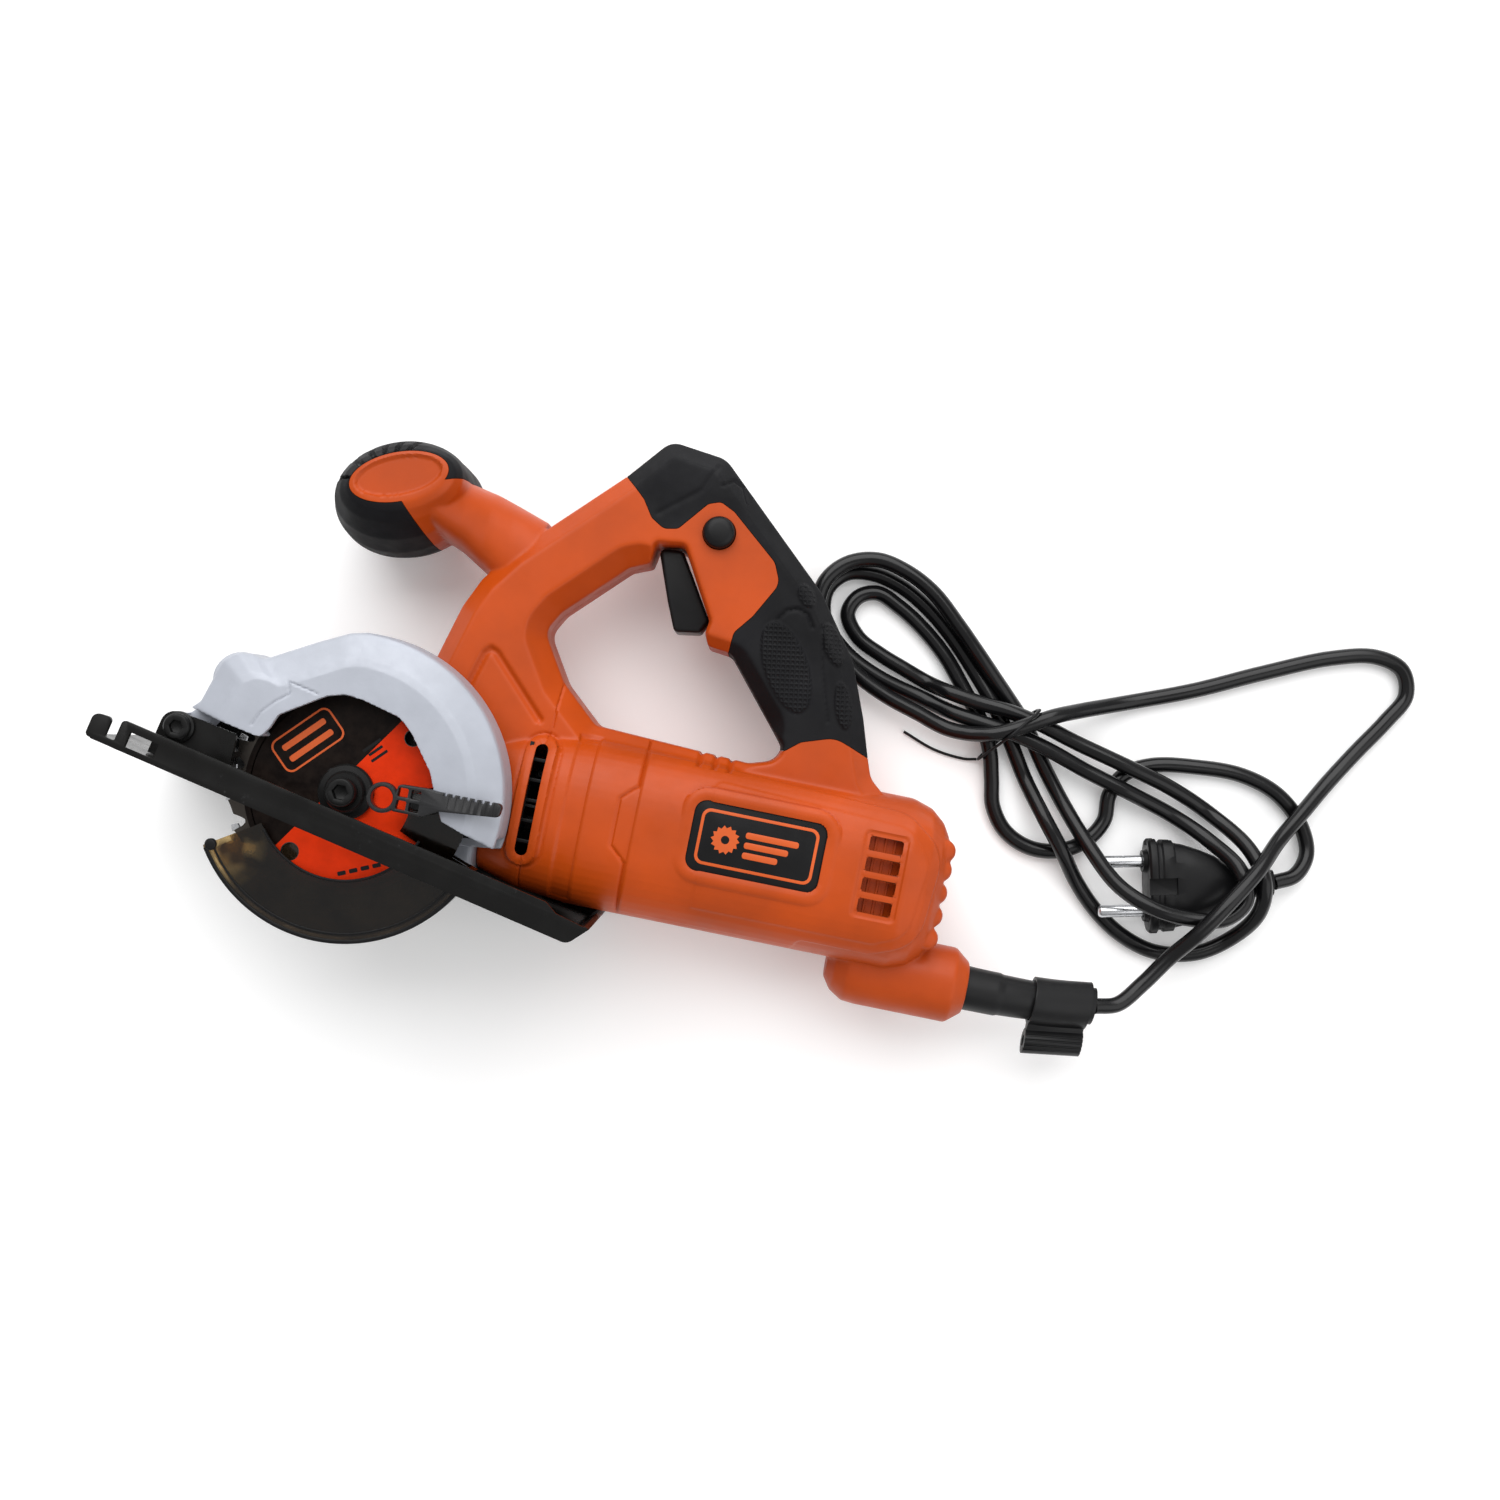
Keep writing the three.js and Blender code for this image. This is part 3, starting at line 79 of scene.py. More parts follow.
# ---- Materials ----
class Nodes:
    """A material's node tree, with short ways to add its nodes."""

    def __init__(self, name, color, roughness, metallic=0.0):
        self.material = bpy.data.materials.new(name)
        self.material.use_nodes = True
        self.tree = self.material.node_tree
        self.shader = self.tree.nodes["Principled BSDF"]
        self.shader.inputs["Base Color"].default_value = (*color, 1)
        self.shader.inputs["Roughness"].default_value = roughness
        self.shader.inputs["Metallic"].default_value = metallic
        self.material.diffuse_color = (*color, 1)
        self.place = self.add("ShaderNodeTexCoord").outputs["Object"]
        self.bump = None

    def add(self, kind, **settings):
        node = self.tree.nodes.new(kind)
        for key, value in settings.items():
            setattr(node, key, value)
        return node

    def link(self, source, target):
        self.tree.links.new(source, target)

    def noise(self, scale, detail=3.0, roughness=0.6, stretch=None):
        node = self.add("ShaderNodeTexNoise")
        node.inputs["Scale"].default_value = scale
        node.inputs["Detail"].default_value = detail
        node.inputs["Roughness"].default_value = roughness
        place = self.place
        if stretch:
            mapping = self.add("ShaderNodeMapping")
            mapping.inputs["Scale"].default_value = stretch
            self.link(place, mapping.inputs["Vector"])
            place = mapping.outputs["Vector"]
        self.link(place, node.inputs["Vector"])
        return node.outputs["Fac"]

    def spread(self, value, low, high, start=0.35, end=0.65):
        """value, which lies mostly between start and end, mapped to low to high."""
        node = self.add("ShaderNodeMapRange")
        node.inputs["From Min"].default_value = start
        node.inputs["From Max"].default_value = end
        node.inputs["To Min"].default_value = low
        node.inputs["To Max"].default_value = high
        self.link(value, node.inputs["Value"])
        return node.outputs["Result"]

    def blend(self, value, first, second):
        """Colour between first and second, each an RGB triple or a socket."""
        node = self.add("ShaderNodeMix", data_type="RGBA")
        self.link(value, node.inputs["Factor"])
        for socket, color in ((node.inputs[6], first), (node.inputs[7], second)):
            if isinstance(color, bpy.types.NodeSocket):
                self.link(color, socket)
            else:
                socket.default_value = (*color, 1)
        return node.outputs[2]

    def raise_by(self, height, strength, distance):
        """Adds a bump layer on top of those already there."""
        node = self.add("ShaderNodeBump")
        node.inputs["Strength"].default_value = strength
        node.inputs["Distance"].default_value = distance
        self.link(height, node.inputs["Height"])
        if self.bump:
            self.link(self.bump, node.inputs["Normal"])
        self.bump = node.outputs["Normal"]
        self.link(self.bump, self.shader.inputs["Normal"])

    def drift_color(self, noise, first, second):
        """Base colour that drifts between two colours with a noise."""
        self.link(self.blend(self.spread(noise, 0, 1), first, second), self.shader.inputs["Base Color"])

    def drift_roughness(self, noise, low, high):
        self.link(self.spread(noise, low, high), self.shader.inputs["Roughness"])

    def attribute(self, name):
        return self.add("ShaderNodeAttribute", attribute_name=name).outputs["Fac"]

    def math(self, operation, *values):
        node = self.add("ShaderNodeMath", operation=operation)
        for socket, value in zip(node.inputs, values):
            if isinstance(value, bpy.types.NodeSocket):
                self.link(value, socket)
            else:
                socket.default_value = value
        return node.outputs["Value"]


def scaled(color, factor):
    return tuple(min(1.0, c * factor) for c in color)


def moulded(name, color, roughness, grain=1400, grain_depth=0.00004, spread=0.12, gloss=0.35):
    """Moulded plastic: fine spark-eroded grain, faint flow marks, and slightly uneven gloss."""
    m = Nodes(name, color, roughness)
    m.drift_color(m.noise(26, 4), scaled(color, 1 - spread), scaled(color, 1 + spread * 0.6))
    m.drift_roughness(m.noise(90, 3), roughness - 0.05, roughness + 0.07)
    m.raise_by(m.noise(grain, 2), 0.35, grain_depth)
    m.raise_by(m.noise(70, 2), 0.12, 0.0002)
    m.shader.inputs["Specular IOR Level"].default_value = gloss
    return m


def cast_metal(name, color):
    m = Nodes(name, color, 0.48, 0.08)
    m.drift_color(m.noise(40, 5), scaled(color, 0.93), scaled(color, 1.04))
    m.drift_roughness(m.noise(300, 3), 0.34, 0.5)
    m.raise_by(m.noise(900, 3), 0.4, 0.00006)
    m.raise_by(m.noise(120, 3), 0.2, 0.0002)
    return m


def bare_metal(name, color, roughness, turned=True):
    """Machined or plated metal with fine streaks along its turning marks."""
    m = Nodes(name, color, roughness, 1.0)
    streaks = m.noise(220, 4, 0.7, (1, 1, 14) if turned else (14, 1, 1))
    m.drift_roughness(streaks, roughness - 0.07, roughness + 0.12)
    m.drift_color(m.noise(60, 4), scaled(color, 0.85), scaled(color, 1.06))
    m.raise_by(streaks, 0.12, 0.00003)
    return m


def painted(name, color, roughness):
    """Powder-coated steel: orange-peel skin with small dull scuffs."""
    m = Nodes(name, color, roughness)
    scuffs = m.spread(m.noise(160, 8, 0.75), 0, 1, 0.62, 0.74)
    m.link(m.blend(scuffs, color, (0.03, 0.03, 0.032)), m.shader.inputs["Base Color"])
    m.drift_roughness(m.noise(60, 4), roughness - 0.06, roughness + 0.12)
    m.raise_by(m.noise(500, 2), 0.25, 0.00008)
    m.shader.inputs["Specular IOR Level"].default_value = 0.2
    return m


def grip_rubber(name):
    """Matt rubber; where a mesh carries a pad value it has a fine diamond cross-hatch."""
    color = (0.005, 0.005, 0.006)
    m = Nodes(name, color, 0.62)
    m.drift_color(m.noise(35, 4), scaled(color, 0.8), scaled(color, 1.5))
    m.drift_roughness(m.noise(80, 3), 0.55, 0.72)
    axes = m.add("ShaderNodeSeparateXYZ")
    m.link(m.place, axes.inputs["Vector"])
    pitch = 2 * math.pi / 0.0017
    waves = []
    for turn in (0.15, 0.15 + math.pi / 2):
        along = m.math("ADD", m.math("MULTIPLY", axes.outputs["X"], math.cos(turn) * pitch),
                       m.math("MULTIPLY", axes.outputs["Y"], math.sin(turn) * pitch))
        waves.append(m.math("SINE", along))
    hatch = m.math("MULTIPLY", m.math("MAXIMUM", *waves), m.attribute("pad"))
    m.raise_by(hatch, 0.8, 0.00028)
    m.raise_by(m.noise(1300, 2), 0.4, 0.00006)
    m.shader.inputs["Specular IOR Level"].default_value = 0.16
    return m


def smoky(name):
    """Dark smoky-brown see-through plastic, a little uneven in tint, with painted gold highlights streaked
    round its front lobe.
    """
    m = Nodes(name, (0.12, 0.085, 0.05), 0.08)
    m.shader.inputs["Transmission Weight"].default_value = 0.9
    m.shader.inputs["IOR"].default_value = 1.45
    reach = m.add("ShaderNodeVectorMath", operation="DISTANCE")
    m.link(m.place, reach.inputs[0])
    reach.inputs[1].default_value = placed(-39, -26, 77)
    # Painted highlight: close to the front lobe the colour turns to bright gold streaks, standing in for
    # light caught in the plastic.
    lobe = m.spread(reach.outputs["Value"], 1, 0, 0.003, 0.017)
    dark = m.blend(m.spread(m.noise(60, 4), 0, 1), (0.012, 0.008, 0.0045), (0.055, 0.036, 0.02))
    painted_lobe_glints = m.blend(m.spread(m.noise(120, 1), 0, 1, 0.42, 0.6), (0.10, 0.055, 0.018), (0.95, 0.66, 0.27))
    m.link(m.blend(lobe, dark, painted_lobe_glints), m.shader.inputs["Base Color"])
    m.drift_roughness(m.noise(120, 4), 0.04, 0.14)
    m.raise_by(m.noise(60, 3), 0.15, 0.0004)
    return m


def blade_print(name):
    """Printed face of the blade: nearly black on one side of a line and orange on the other."""
    orange = (0.72, 0.034, 0.003)
    m = Nodes(name, orange, 0.4)
    m.shader.inputs["Specular IOR Level"].default_value = 0.08
    axes = m.add("ShaderNodeSeparateXYZ")
    m.link(m.place, axes.inputs["Vector"])
    line_turn = math.radians(56)
    line_x = BLADE_AXIS.x - 5 * MM
    beside = m.math("MULTIPLY", m.math("SUBTRACT", axes.outputs["X"], line_x), math.sin(line_turn))
    above = m.math("MULTIPLY", m.math("SUBTRACT", axes.outputs["Y"], BLADE_AXIS.y), math.cos(line_turn))
    side = m.math("GREATER_THAN", m.math("SUBTRACT", beside, above), 0.0)
    dark = m.blend(m.spread(m.noise(200, 4), 0, 1), (0.004, 0.0022, 0.0018), (0.010, 0.006, 0.0045))
    lit = m.blend(m.spread(m.noise(150, 4), 0, 1), scaled(orange, 0.85), orange)
    m.link(m.blend(side, dark, lit), m.shader.inputs["Base Color"])
    m.drift_roughness(m.noise(400, 4), 0.32, 0.46)
    m.raise_by(m.noise(500, 3), 0.15, 0.00004)
    return m


ORANGE_COLOR = (0.44, 0.056, 0.003)
ORANGE = moulded("orange_plastic", ORANGE_COLOR, 0.42, gloss=0.25).material
RUBBER = grip_rubber("black_rubber").material
BLACK = moulded("black_plastic", (0.0055, 0.0055, 0.006), 0.36, gloss=0.2).material
SLEEVE = moulded("sleeve_rubber", (0.0075, 0.0075, 0.008), 0.40, grain=900, gloss=0.22).material
CORD_BLACK = moulded("cord_sheath", (0.0045, 0.0045, 0.005), 0.2, grain=500, spread=0.2,
                     gloss=0.3).material
GREY = moulded("lever_plastic", (0.012, 0.012, 0.013), 0.36).material
SMOKE = smoky("smoky_plastic").material
CAST = cast_metal("cast_aluminium", (0.375, 0.395, 0.445)).material
STEEL = bare_metal("bright_steel", (0.62, 0.63, 0.65), 0.24).material
BLADE_STEEL = bare_metal("blade_steel", (0.07, 0.062, 0.055), 0.36, False).material
DARK = painted("blackened_steel", (0.006, 0.006, 0.006), 0.34).material
PAINT = painted("black_paint", (0.005, 0.0048, 0.0046), 0.28).material
PRINT = blade_print("blade_print").material
BADGE_ORANGE = moulded("badge_orange", (0.60, 0.095, 0.014), 0.4).material
COPPER = bare_metal("copper_wire", (0.55, 0.22, 0.09), 0.35).material
LAMINATION = bare_metal("lamination_steel", (0.2, 0.2, 0.21), 0.45).material
BRASS = bare_metal("brass", (0.62, 0.44, 0.16), 0.3).material
CARBON = moulded("carbon", (0.03, 0.03, 0.03), 0.6).material


# ---- Shapes ----
def outline(points, steps=6):
    """Points [x, y] or [x, y, r]; a corner with an r is rounded by an arc of that radius."""
    ring = []
    for i, point in enumerate(points):
        here = Vector(point[:2])
        if len(point) < 3 or not point[2]:
            ring.append(here)
            continue
        before = (Vector(points[i - 1][:2]) - here).normalized()
        after = (Vector(points[(i + 1) % len(points)][:2]) - here).normalized()
        half = math.acos(max(-1, min(1, before.dot(after)))) / 2
        centre = here + (before + after).normalized() * point[2] / math.sin(half)
        start = here + before * point[2] / math.tan(half) - centre
        end = here + after * point[2] / math.tan(half) - centre
        sweep = math.atan2(start.x * end.y - start.y * end.x, start.dot(end))
        for k in range(steps + 1):
            angle = sweep * k / steps
            ring.append(centre + Matrix.Rotation(angle, 2) @ start)
    return ring


def area(ring):
    return sum(a.x * b.y - b.x * a.y for a, b in zip(ring, ring[1:] + ring[:1])) / 2


def anticlockwise(ring):
    return ring if area(ring) > 0 else ring[::-1]


def shrunk(ring, distance):
    """The ring moved inwards by a distance, with mitred corners; it runs anticlockwise."""
    moved = []
    for i, here in enumerate(ring):
        a = (here - ring[i - 1]).normalized()
        b = (ring[(i + 1) % len(ring)] - here).normalized()
        first, second = Vector((-a.y, a.x)), Vector((-b.y, b.x))
        moved.append(here + (first + second) * distance / max(0.3, 1 + first.dot(second)))
    return moved


def arc(x, y, r, start, end, steps):
    angles = (math.radians(start + (end - start) * k / steps) for k in range(steps + 1))
    return [(x + r * math.cos(a), y + r * math.sin(a)) for a in angles]


def circle(x, y, r, sides):
    angles = (2 * math.pi * k / sides for k in range(sides))
    return [(x + r * math.cos(a), y + r * math.sin(a)) for a in angles]


def capsule(x, y, half_x, half_y, steps=12):
    r = min(half_x, half_y)
    out_x, out_y = half_x - r, half_y - r
    ring = []
    for side_x, side_y, start in ((1, 1, 0), (-1, 1, 90), (-1, -1, 180), (1, -1, 270)):
        ring += arc(x + side_x * out_x, y + side_y * out_y, r, start, start + 90, steps)
    return [Vector(p) for p in ring]


def rounded_box(x, y, half_x, half_y, r):
    return outline([(x - half_x, y - half_y, r), (x + half_x, y - half_y, r),
                    (x + half_x, y + half_y, r), (x - half_x, y + half_y, r)])


def mesh_object(name, vertices, faces):
    mesh = bpy.data.meshes.new(name)
    mesh.from_pydata([tuple(v) for v in vertices], [], faces)
    mesh.validate()
    bm = bmesh.new()
    bm.from_mesh(mesh)
    bmesh.ops.remove_doubles(bm, verts=bm.verts, dist=1e-4)
    bmesh.ops.recalc_face_normals(bm, faces=bm.faces)
    bm.to_mesh(mesh)
    bm.free()
    obj = bpy.data.objects.new(name, mesh)
    scene.collection.objects.link(obj)
    return obj


def loft(rings, name="shape"):
    """Skin through closed rings of equal length, with flat ends."""
    count = len(rings[0])
    vertices = [p for ring in rings for p in ring]
    faces = [tuple(range(count))[::-1], tuple(range((len(rings) - 1) * count, len(rings) * count))]
    for level in range(len(rings) - 1):
        base = level * count
        faces += [(base + k, base + (k + 1) % count, base + count + (k + 1) % count, base + count + k)
                  for k in range(count)]
    return mesh_object(name, vertices, faces)


def prism(points, low, high, edge=0.0, depth=None, steps=3):
    """Prism over an outline between two heights, its edges rounded (steps > 1) or chamfered (1)."""
    ring = anticlockwise([Vector(p) for p in points])
    depth = edge if depth is None else depth
    profile = []
    for k in range(steps + 1 if edge else 1):
        turn = math.pi / 2 * k / steps
        profile.append((edge * (1 - math.sin(turn)), depth * (1 - math.cos(turn))))
    rings = [[(*p, low + z) for p in shrunk(ring, inset)] for inset, z in profile]
    rings += [[(*p, high - z) for p in shrunk(ring, inset)] for inset, z in reversed(profile)]
    return loft(rings)


def box(x0, x1, y0, y1, z0, z1, edge=0.0):
    return prism([(x0, y0), (x1, y0), (x1, y1), (x0, y1)], z0, z1, edge)


def gridded_box(x0, x1, y0, y1, z0, z1, cell=7.0):
    """Box whose flat faces are grids, so that what it cuts gets no large many-sided faces."""
    across, along = int((x1 - x0) / cell) + 2, int((y1 - y0) / cell) + 2
    xs, ys = np.linspace(x0, x1, across), np.linspace(y0, y1, along)
    vertices = [(x, y, z) for z in (z0, z1) for y in ys for x in xs]
    level = across * along
    faces = []
    for j in range(along - 1):
        for i in range(across - 1):
            a = j * across + i
            faces.append((a, a + across, a + across + 1, a + 1))
            faces.append((level + a, level + a + 1, level + a + across + 1, level + a + across))
    rim = [*range(across), *(j * across + across - 1 for j in range(1, along)),
           *(level - 2 - i for i in range(across - 1)), *(j * across for j in range(along - 2, 0, -1))]
    faces += [(a, b, level + b, level + a) for a, b in zip(rim, rim[1:] + rim[:1])]
    return mesh_object("block", vertices, faces)


def turned(profile, x=0, y=0, sides=64):
    """Body of revolution about Z through a closed profile of (radius, z) points."""
    rings = []
    for k in range(sides):
        angle = 2 * math.pi * k / sides
        rings.append([(x + r * math.cos(angle), y + r * math.sin(angle), z) for r, z in profile])
    count = len(profile)
    faces = []
    for k in range(sides):
        a, b = k * count, (k + 1) % sides * count
        faces += [(a + i, b + i, b + (i + 1) % count, a + (i + 1) % count) for i in range(count)]
    return mesh_object("turned", [p for ring in rings for p in ring], faces)


def tube(inner, outer, low, high):
    return turned([(inner, low), (outer, low), (outer, high), (inner, high)])


def rod(r, z0, z1, x=0, y=0, edge=0.0, sides=48):
    return prism(circle(x, y, r, sides), z0, z1, edge)


def across_x(x, y, z, half_y, half_z, sides=72, power=3.0):
    """Rounded-square section across X."""
    ring = []
    for k in range(sides):
        angle = 2 * math.pi * (k + 0.5) / sides
        c, s = math.cos(angle), math.sin(angle)
        bulge = (abs(c) ** power + abs(s) ** power) ** (-1 / power)
        ring.append((x, y + half_y * bulge * c, z + half_z * bulge * s))
    return ring


def oval_across_x(centre, half_y, half_z, sides):
    return across_x(*centre, half_y, half_z, sides, 2)


def hose(centres, radii, sides):
    """Body along a row of centres; radii is one radius, or one for each centre."""
    radii = radii if isinstance(radii, list) else [radii] * len(centres)
    return loft([oval_across_x(centre, r, r, sides) for centre, r in zip(centres, radii)])


def flat_oval(x, y, long, short, tilt, sides=64):
    turn = Matrix.Rotation(tilt, 2)
    return [Vector((x, y)) + turn @ Vector((long * a, short * b)) for a, b in circle(0, 0, 1, sides)]


def oval(z, *shape):
    return [(*p, z) for p in flat_oval(*shape)]


def along_x(obj, y, z):
    """A piece made about Z, laid along X."""
    obj.data.transform(Matrix.Translation((0, y, z)) @ Matrix.Rotation(math.pi / 2, 4, "Y"))
    return obj


def apply_modifiers(obj):
    graph = bpy.context.evaluated_depsgraph_get()
    mesh = bpy.data.meshes.new_from_object(obj.evaluated_get(graph))
    obj.modifiers.clear()
    obj.data = mesh
    return obj


def combine(operation, first, *others):
    for other in others:
        modifier = first.modifiers.new("combine", "BOOLEAN")
        modifier.operation = operation
        modifier.solver = "MANIFOLD"
        modifier.object = other
        apply_modifiers(first)
        bpy.data.objects.remove(other)
    return first


def join(first, *others):
    return combine("UNION", first, *others)


def cut(first, *others):
    return combine("DIFFERENCE", first, *others)


def common(first, *others):
    return combine("INTERSECT", first, *others)


def copy(obj):
    twin = obj.copy()
    twin.data = obj.data.copy()
    scene.collection.objects.link(twin)
    return twin


def skinned(obj, voxel, rounds):
    """One even, softly rounded skin over a rough form."""
    modifier = obj.modifiers.new("skin", "REMESH")
    modifier.mode = "VOXEL"
    modifier.voxel_size = voxel
    modifier.adaptivity = 0
    smooth = obj.modifiers.new("smooth", "SMOOTH")
    smooth.factor = 0.5
    smooth.iterations = rounds
    return apply_modifiers(obj)


def rounded(obj, width, segments=2, angle=35):
    modifier = obj.modifiers.new("edges", "BEVEL")
    modifier.width = width
    modifier.segments = segments
    modifier.limit_method = "ANGLE"
    modifier.angle_limit = math.radians(angle)
    modifier.harden_normals = False
    return apply_modifiers(obj)


# ---- Fine relief, pressed into or raised from a dense skin ----
def points_of(obj):
    places = np.empty(len(obj.data.vertices) * 3)
    normals = np.empty_like(places)
    obj.data.vertices.foreach_get("co", places)
    obj.data.vertices.foreach_get("normal", normals)
    return places.reshape(-1, 3), normals.reshape(-1, 3)


def eased(value):
    value = np.clip(value, 0, 1)
    return value * value * (3 - 2 * value)


def distance_to(flat, line, closed=False):
    """Distance from each flat point to a polyline."""
    line = np.array([tuple(p)[:2] for p in line], float)
    ends = np.roll(line, -1, axis=0) if closed else line[1:]
    nearest = np.full(len(flat), 1e9)
    for a, b in zip(line, ends):
        way = b - a
        t = np.clip((flat - a) @ way / max(way @ way, 1e-12), 0, 1)
        nearest = np.minimum(nearest, np.linalg.norm(flat - a - t[:, None] * way, axis=1))
    return nearest


def inside(flat, ring):
    ring = np.array([tuple(p)[:2] for p in ring], float)
    odd = np.zeros(len(flat), bool)
    x, y = flat[:, 0], flat[:, 1]
    for (ax, ay), (bx, by) in zip(ring, np.roll(ring, -1, axis=0)):
        crosses = (ay > y) != (by > y)
        with np.errstate(divide="ignore", invalid="ignore"):
            where = (bx - ax) * (y - ay) / (by - ay) + ax
        odd ^= crosses & (x < where)
    return odd


def facing(normals, side):
    return eased((normals[:, 2] * side - 0.15) / 0.35) if side else np.ones(len(normals))


def press(obj, amount, places, normals):
    places = places + normals * amount[:, None]
    obj.data.vertices.foreach_set("co", places.ravel())
    obj.data.update()


def groove(obj, line, half, depth, side=1, closed=False, above=-1e9):
    """A round-bottomed groove along a polyline, on the face that looks along side times Z."""
    places, normals = points_of(obj)
    near = distance_to(places[:, :2], line, closed)
    amount = -depth * eased(1 - near / half) * facing(normals, side) * (places[:, 1] > above)
    press(obj, amount, places, normals)


def relief(obj, ring, height, edge, side=1):
    """Raises (or, with a negative height, sinks) the inside of a ring."""
    places, normals = points_of(obj)
    flat = places[:, :2]
    depth_in = distance_to(flat, ring, True) * np.where(inside(flat, ring), 1, -1)
    press(obj, height * eased(depth_in / edge + 0.5) * facing(normals, side), places, normals)


def mark(obj, name, rings):
    """Gives the inside of the rings the value 1 in a vertex attribute, and the rest 0."""
    places, _ = points_of(obj)
    value = np.zeros(len(places))
    for ring in rings:
        depth_in = distance_to(places[:, :2], ring, True) * np.where(inside(places[:, :2], ring), 1, -1)
        value = np.maximum(value, eased(depth_in / 1.2))
    layer = obj.data.attributes.new(name, "FLOAT", "POINT")
    layer.data.foreach_set("value", value)


def finish_piece(obj, name, material, body, *nodes, sharp=40):
    """Names a piece, moves it to the frame and hangs it on its body, in place of those CAD nodes."""
    obj.name = name
    obj.data.name = name
    obj.data.transform(TO_FRAME)
    obj.data.materials.clear()
    obj.data.materials.append(material)
    obj.data.shade_smooth()
    obj.data.set_sharp_from_angle(angle=math.radians(sharp))
    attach(obj, body)
    if nodes:
        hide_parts(*nodes)


# ---- Mains cord, plug and tie ----
CORD_R = 3
CORD_ROUTE = [
    (282.2, -26.3, 25.2), (291, -24, 23.4), (299, -15, 21.5), (307, -3, 22.5), (315, 8.5, 27),
    (323, 21, 28.2), (333, 36, 24), (341, 49, 15), (349, 61, 9.9), (358, 75, 5), (367, 89, 3.2),
    (376, 103, 3.2), (381.5, 114, 3.2), (378, 123.5, 3.2), (367, 126.5, 3.2), (350, 122.5, 3.2),
    (325, 111.5, 3.2), (300, 99.5, 3.2), (275, 89.5, 4), (257, 82.5, 11), (246.5, 78, 16.8),
    (236, 72, 17.4), (227, 67.6, 17), (218, 65.6, 13.8), (208, 65.8, 10.4), (196, 69.4, 9.6),
    (183, 73.4, 9.6), (170, 79.5, 9.6), (158, 89.5, 9.6), (150.5, 101, 9.6), (151, 112, 9.6),
    (158, 120.5, 9.6), (169, 124.2, 9.6), (181, 122, 9.6), (193, 116, 9.6), (205, 105.5, 9.6),
    (214, 97, 9), (223, 88.5, 6.8), (231, 81, 4.4), (239, 72.5, 4.4), (250, 57.5, 3.2), (261, 43.5, 6),
    (271, 31.5, 13.5), (283, 20.2, 18), (296, 14.5, 21.8), (312, 13, 21.8), (325, 15.5, 21.6),
    (331.5, 24, 21), (327.5, 34.5, 20), (316, 43.5, 10), (301, 50.3, 5.6), (283, 55.3, 9.6),
    (264, 60.5, 9.6), (248, 65.6, 10.4), (233.5, 69, 10.8), (222, 70.4, 10.8), (211, 72, 8.8),
    (198, 75.4, 3.2), (178, 80.6, 3.2), (164, 87.6, 3.2), (154, 98, 3.2), (152.5, 109.5, 3.2),
    (158.5, 117.2, 3.2), (169, 119.2, 3.2), (180, 116.8, 3.2), (191, 111.2, 3.2), (203, 102, 3.2),
    (215, 90, 3.2), (225, 78.5, 4.4), (233, 67.5, 4.4), (242.5, 53, 3.2), (252, 39.5, 9.6),
    (261, 28.5, 10.2), (270, 17.5, 5), (280, 8, 3.2), (291, 1, 3.2), (305, -3, 3.2), (321, -0.5, 3.2),
    (333, 8, 5), (339, 20, 14.5), (337.5, 32, 19.6), (330.5, 43.5, 14), (315, 54, 4.6), (297, 60.8, 8),
    (279, 65.3, 10), (258, 70.4, 9.8), (243, 74.6, 10.8), (230, 77, 10.9), (218, 78, 10.4),
    (207, 79.6, 9.4), (198, 82, 3.2), (188, 85.4, 3.2), (178, 89, 3.2), (168, 94, 3.2),
    (162.3, 102, 3.2), (165, 109.2, 3.2), (172, 112.2, 3.2), (181.5, 108.6, 3.2), (191.5, 102.6, 3.2),
    (202.5, 93.6, 3.2), (213, 81.6, 3.2), (221.5, 71, 4.4), (227, 60.5, 4.4), (230, 50, 3.2),
    (232.5, 40, 3.2), (239, 31.5, 3.2), (249.5, 27, 3.2), (261, 28, 3.2), (270.5, 33.8, 3.2),
    (276, 43, 3.2), (276, 53, 3.2), (280, 62, 3.2), (290, 67.8, 3.2), (307, 70.6, 3.2), (325, 71, 3.2),
    (340, 66.5, 3.2), (351, 57, 3.2), (355.5, 46, 4.5), (352, 37, 7), (344, 32.7, 8.8),
]


def spline(points, steps=8):
    """Centripetal curve through the points, the same one as the frame's tube follows."""
    points = [Vector(p) for p in points]
    points = [2 * points[0] - points[1], *points, 2 * points[-1] - points[-2]]
    way = []
    for a, b, c, d in zip(points, points[1:], points[2:], points[3:]):
        t1 = (b - a).length ** 0.5
        t2 = t1 + (c - b).length ** 0.5
        t3 = t2 + (d - c).length ** 0.5
        for k in range(steps):
            t = t1 + (t2 - t1) * k / steps
            ab, bc, cd = a.lerp(b, t / t1), b.lerp(c, (t - t1) / (t2 - t1)), c.lerp(d, (t - t2) / (t3 - t2))
            way.append(ab.lerp(bc, t / t2).lerp(bc.lerp(cd, (t - t1) / (t3 - t1)), (t - t1) / (t2 - t1)))
    return [*way, points[-2]]


def wire(name, points, r, material, steps=8):
    way = spline(points, steps)
    curve = bpy.data.curves.new(name, "CURVE")
    curve.dimensions = "3D"
    curve.bevel_depth = r * MM
    curve.bevel_resolution = 6
    curve.use_fill_caps = True
    line = curve.splines.new("POLY")
    line.points.add(len(way) - 1)
    for point, place in zip(line.points, way):
        point.co = (*placed(*place), 1)
    line.use_smooth = True
    curve.materials.append(material)
    obj = bpy.data.objects.new(name, curve)
    scene.collection.objects.link(obj)
    return obj, sum((b - a).length for a, b in zip(way, way[1:]))


cord, cord_length = wire("mains_cord_sheath", CORD_ROUTE, CORD_R, CORD_BLACK)
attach(cord, "housing")
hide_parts("mains_cord")

PLUG_PLACE = (296, 21.7, 8.8)
PLUG_TURN = math.atan2(0.223, 0.975)
PIN_ASIDE = 9.5


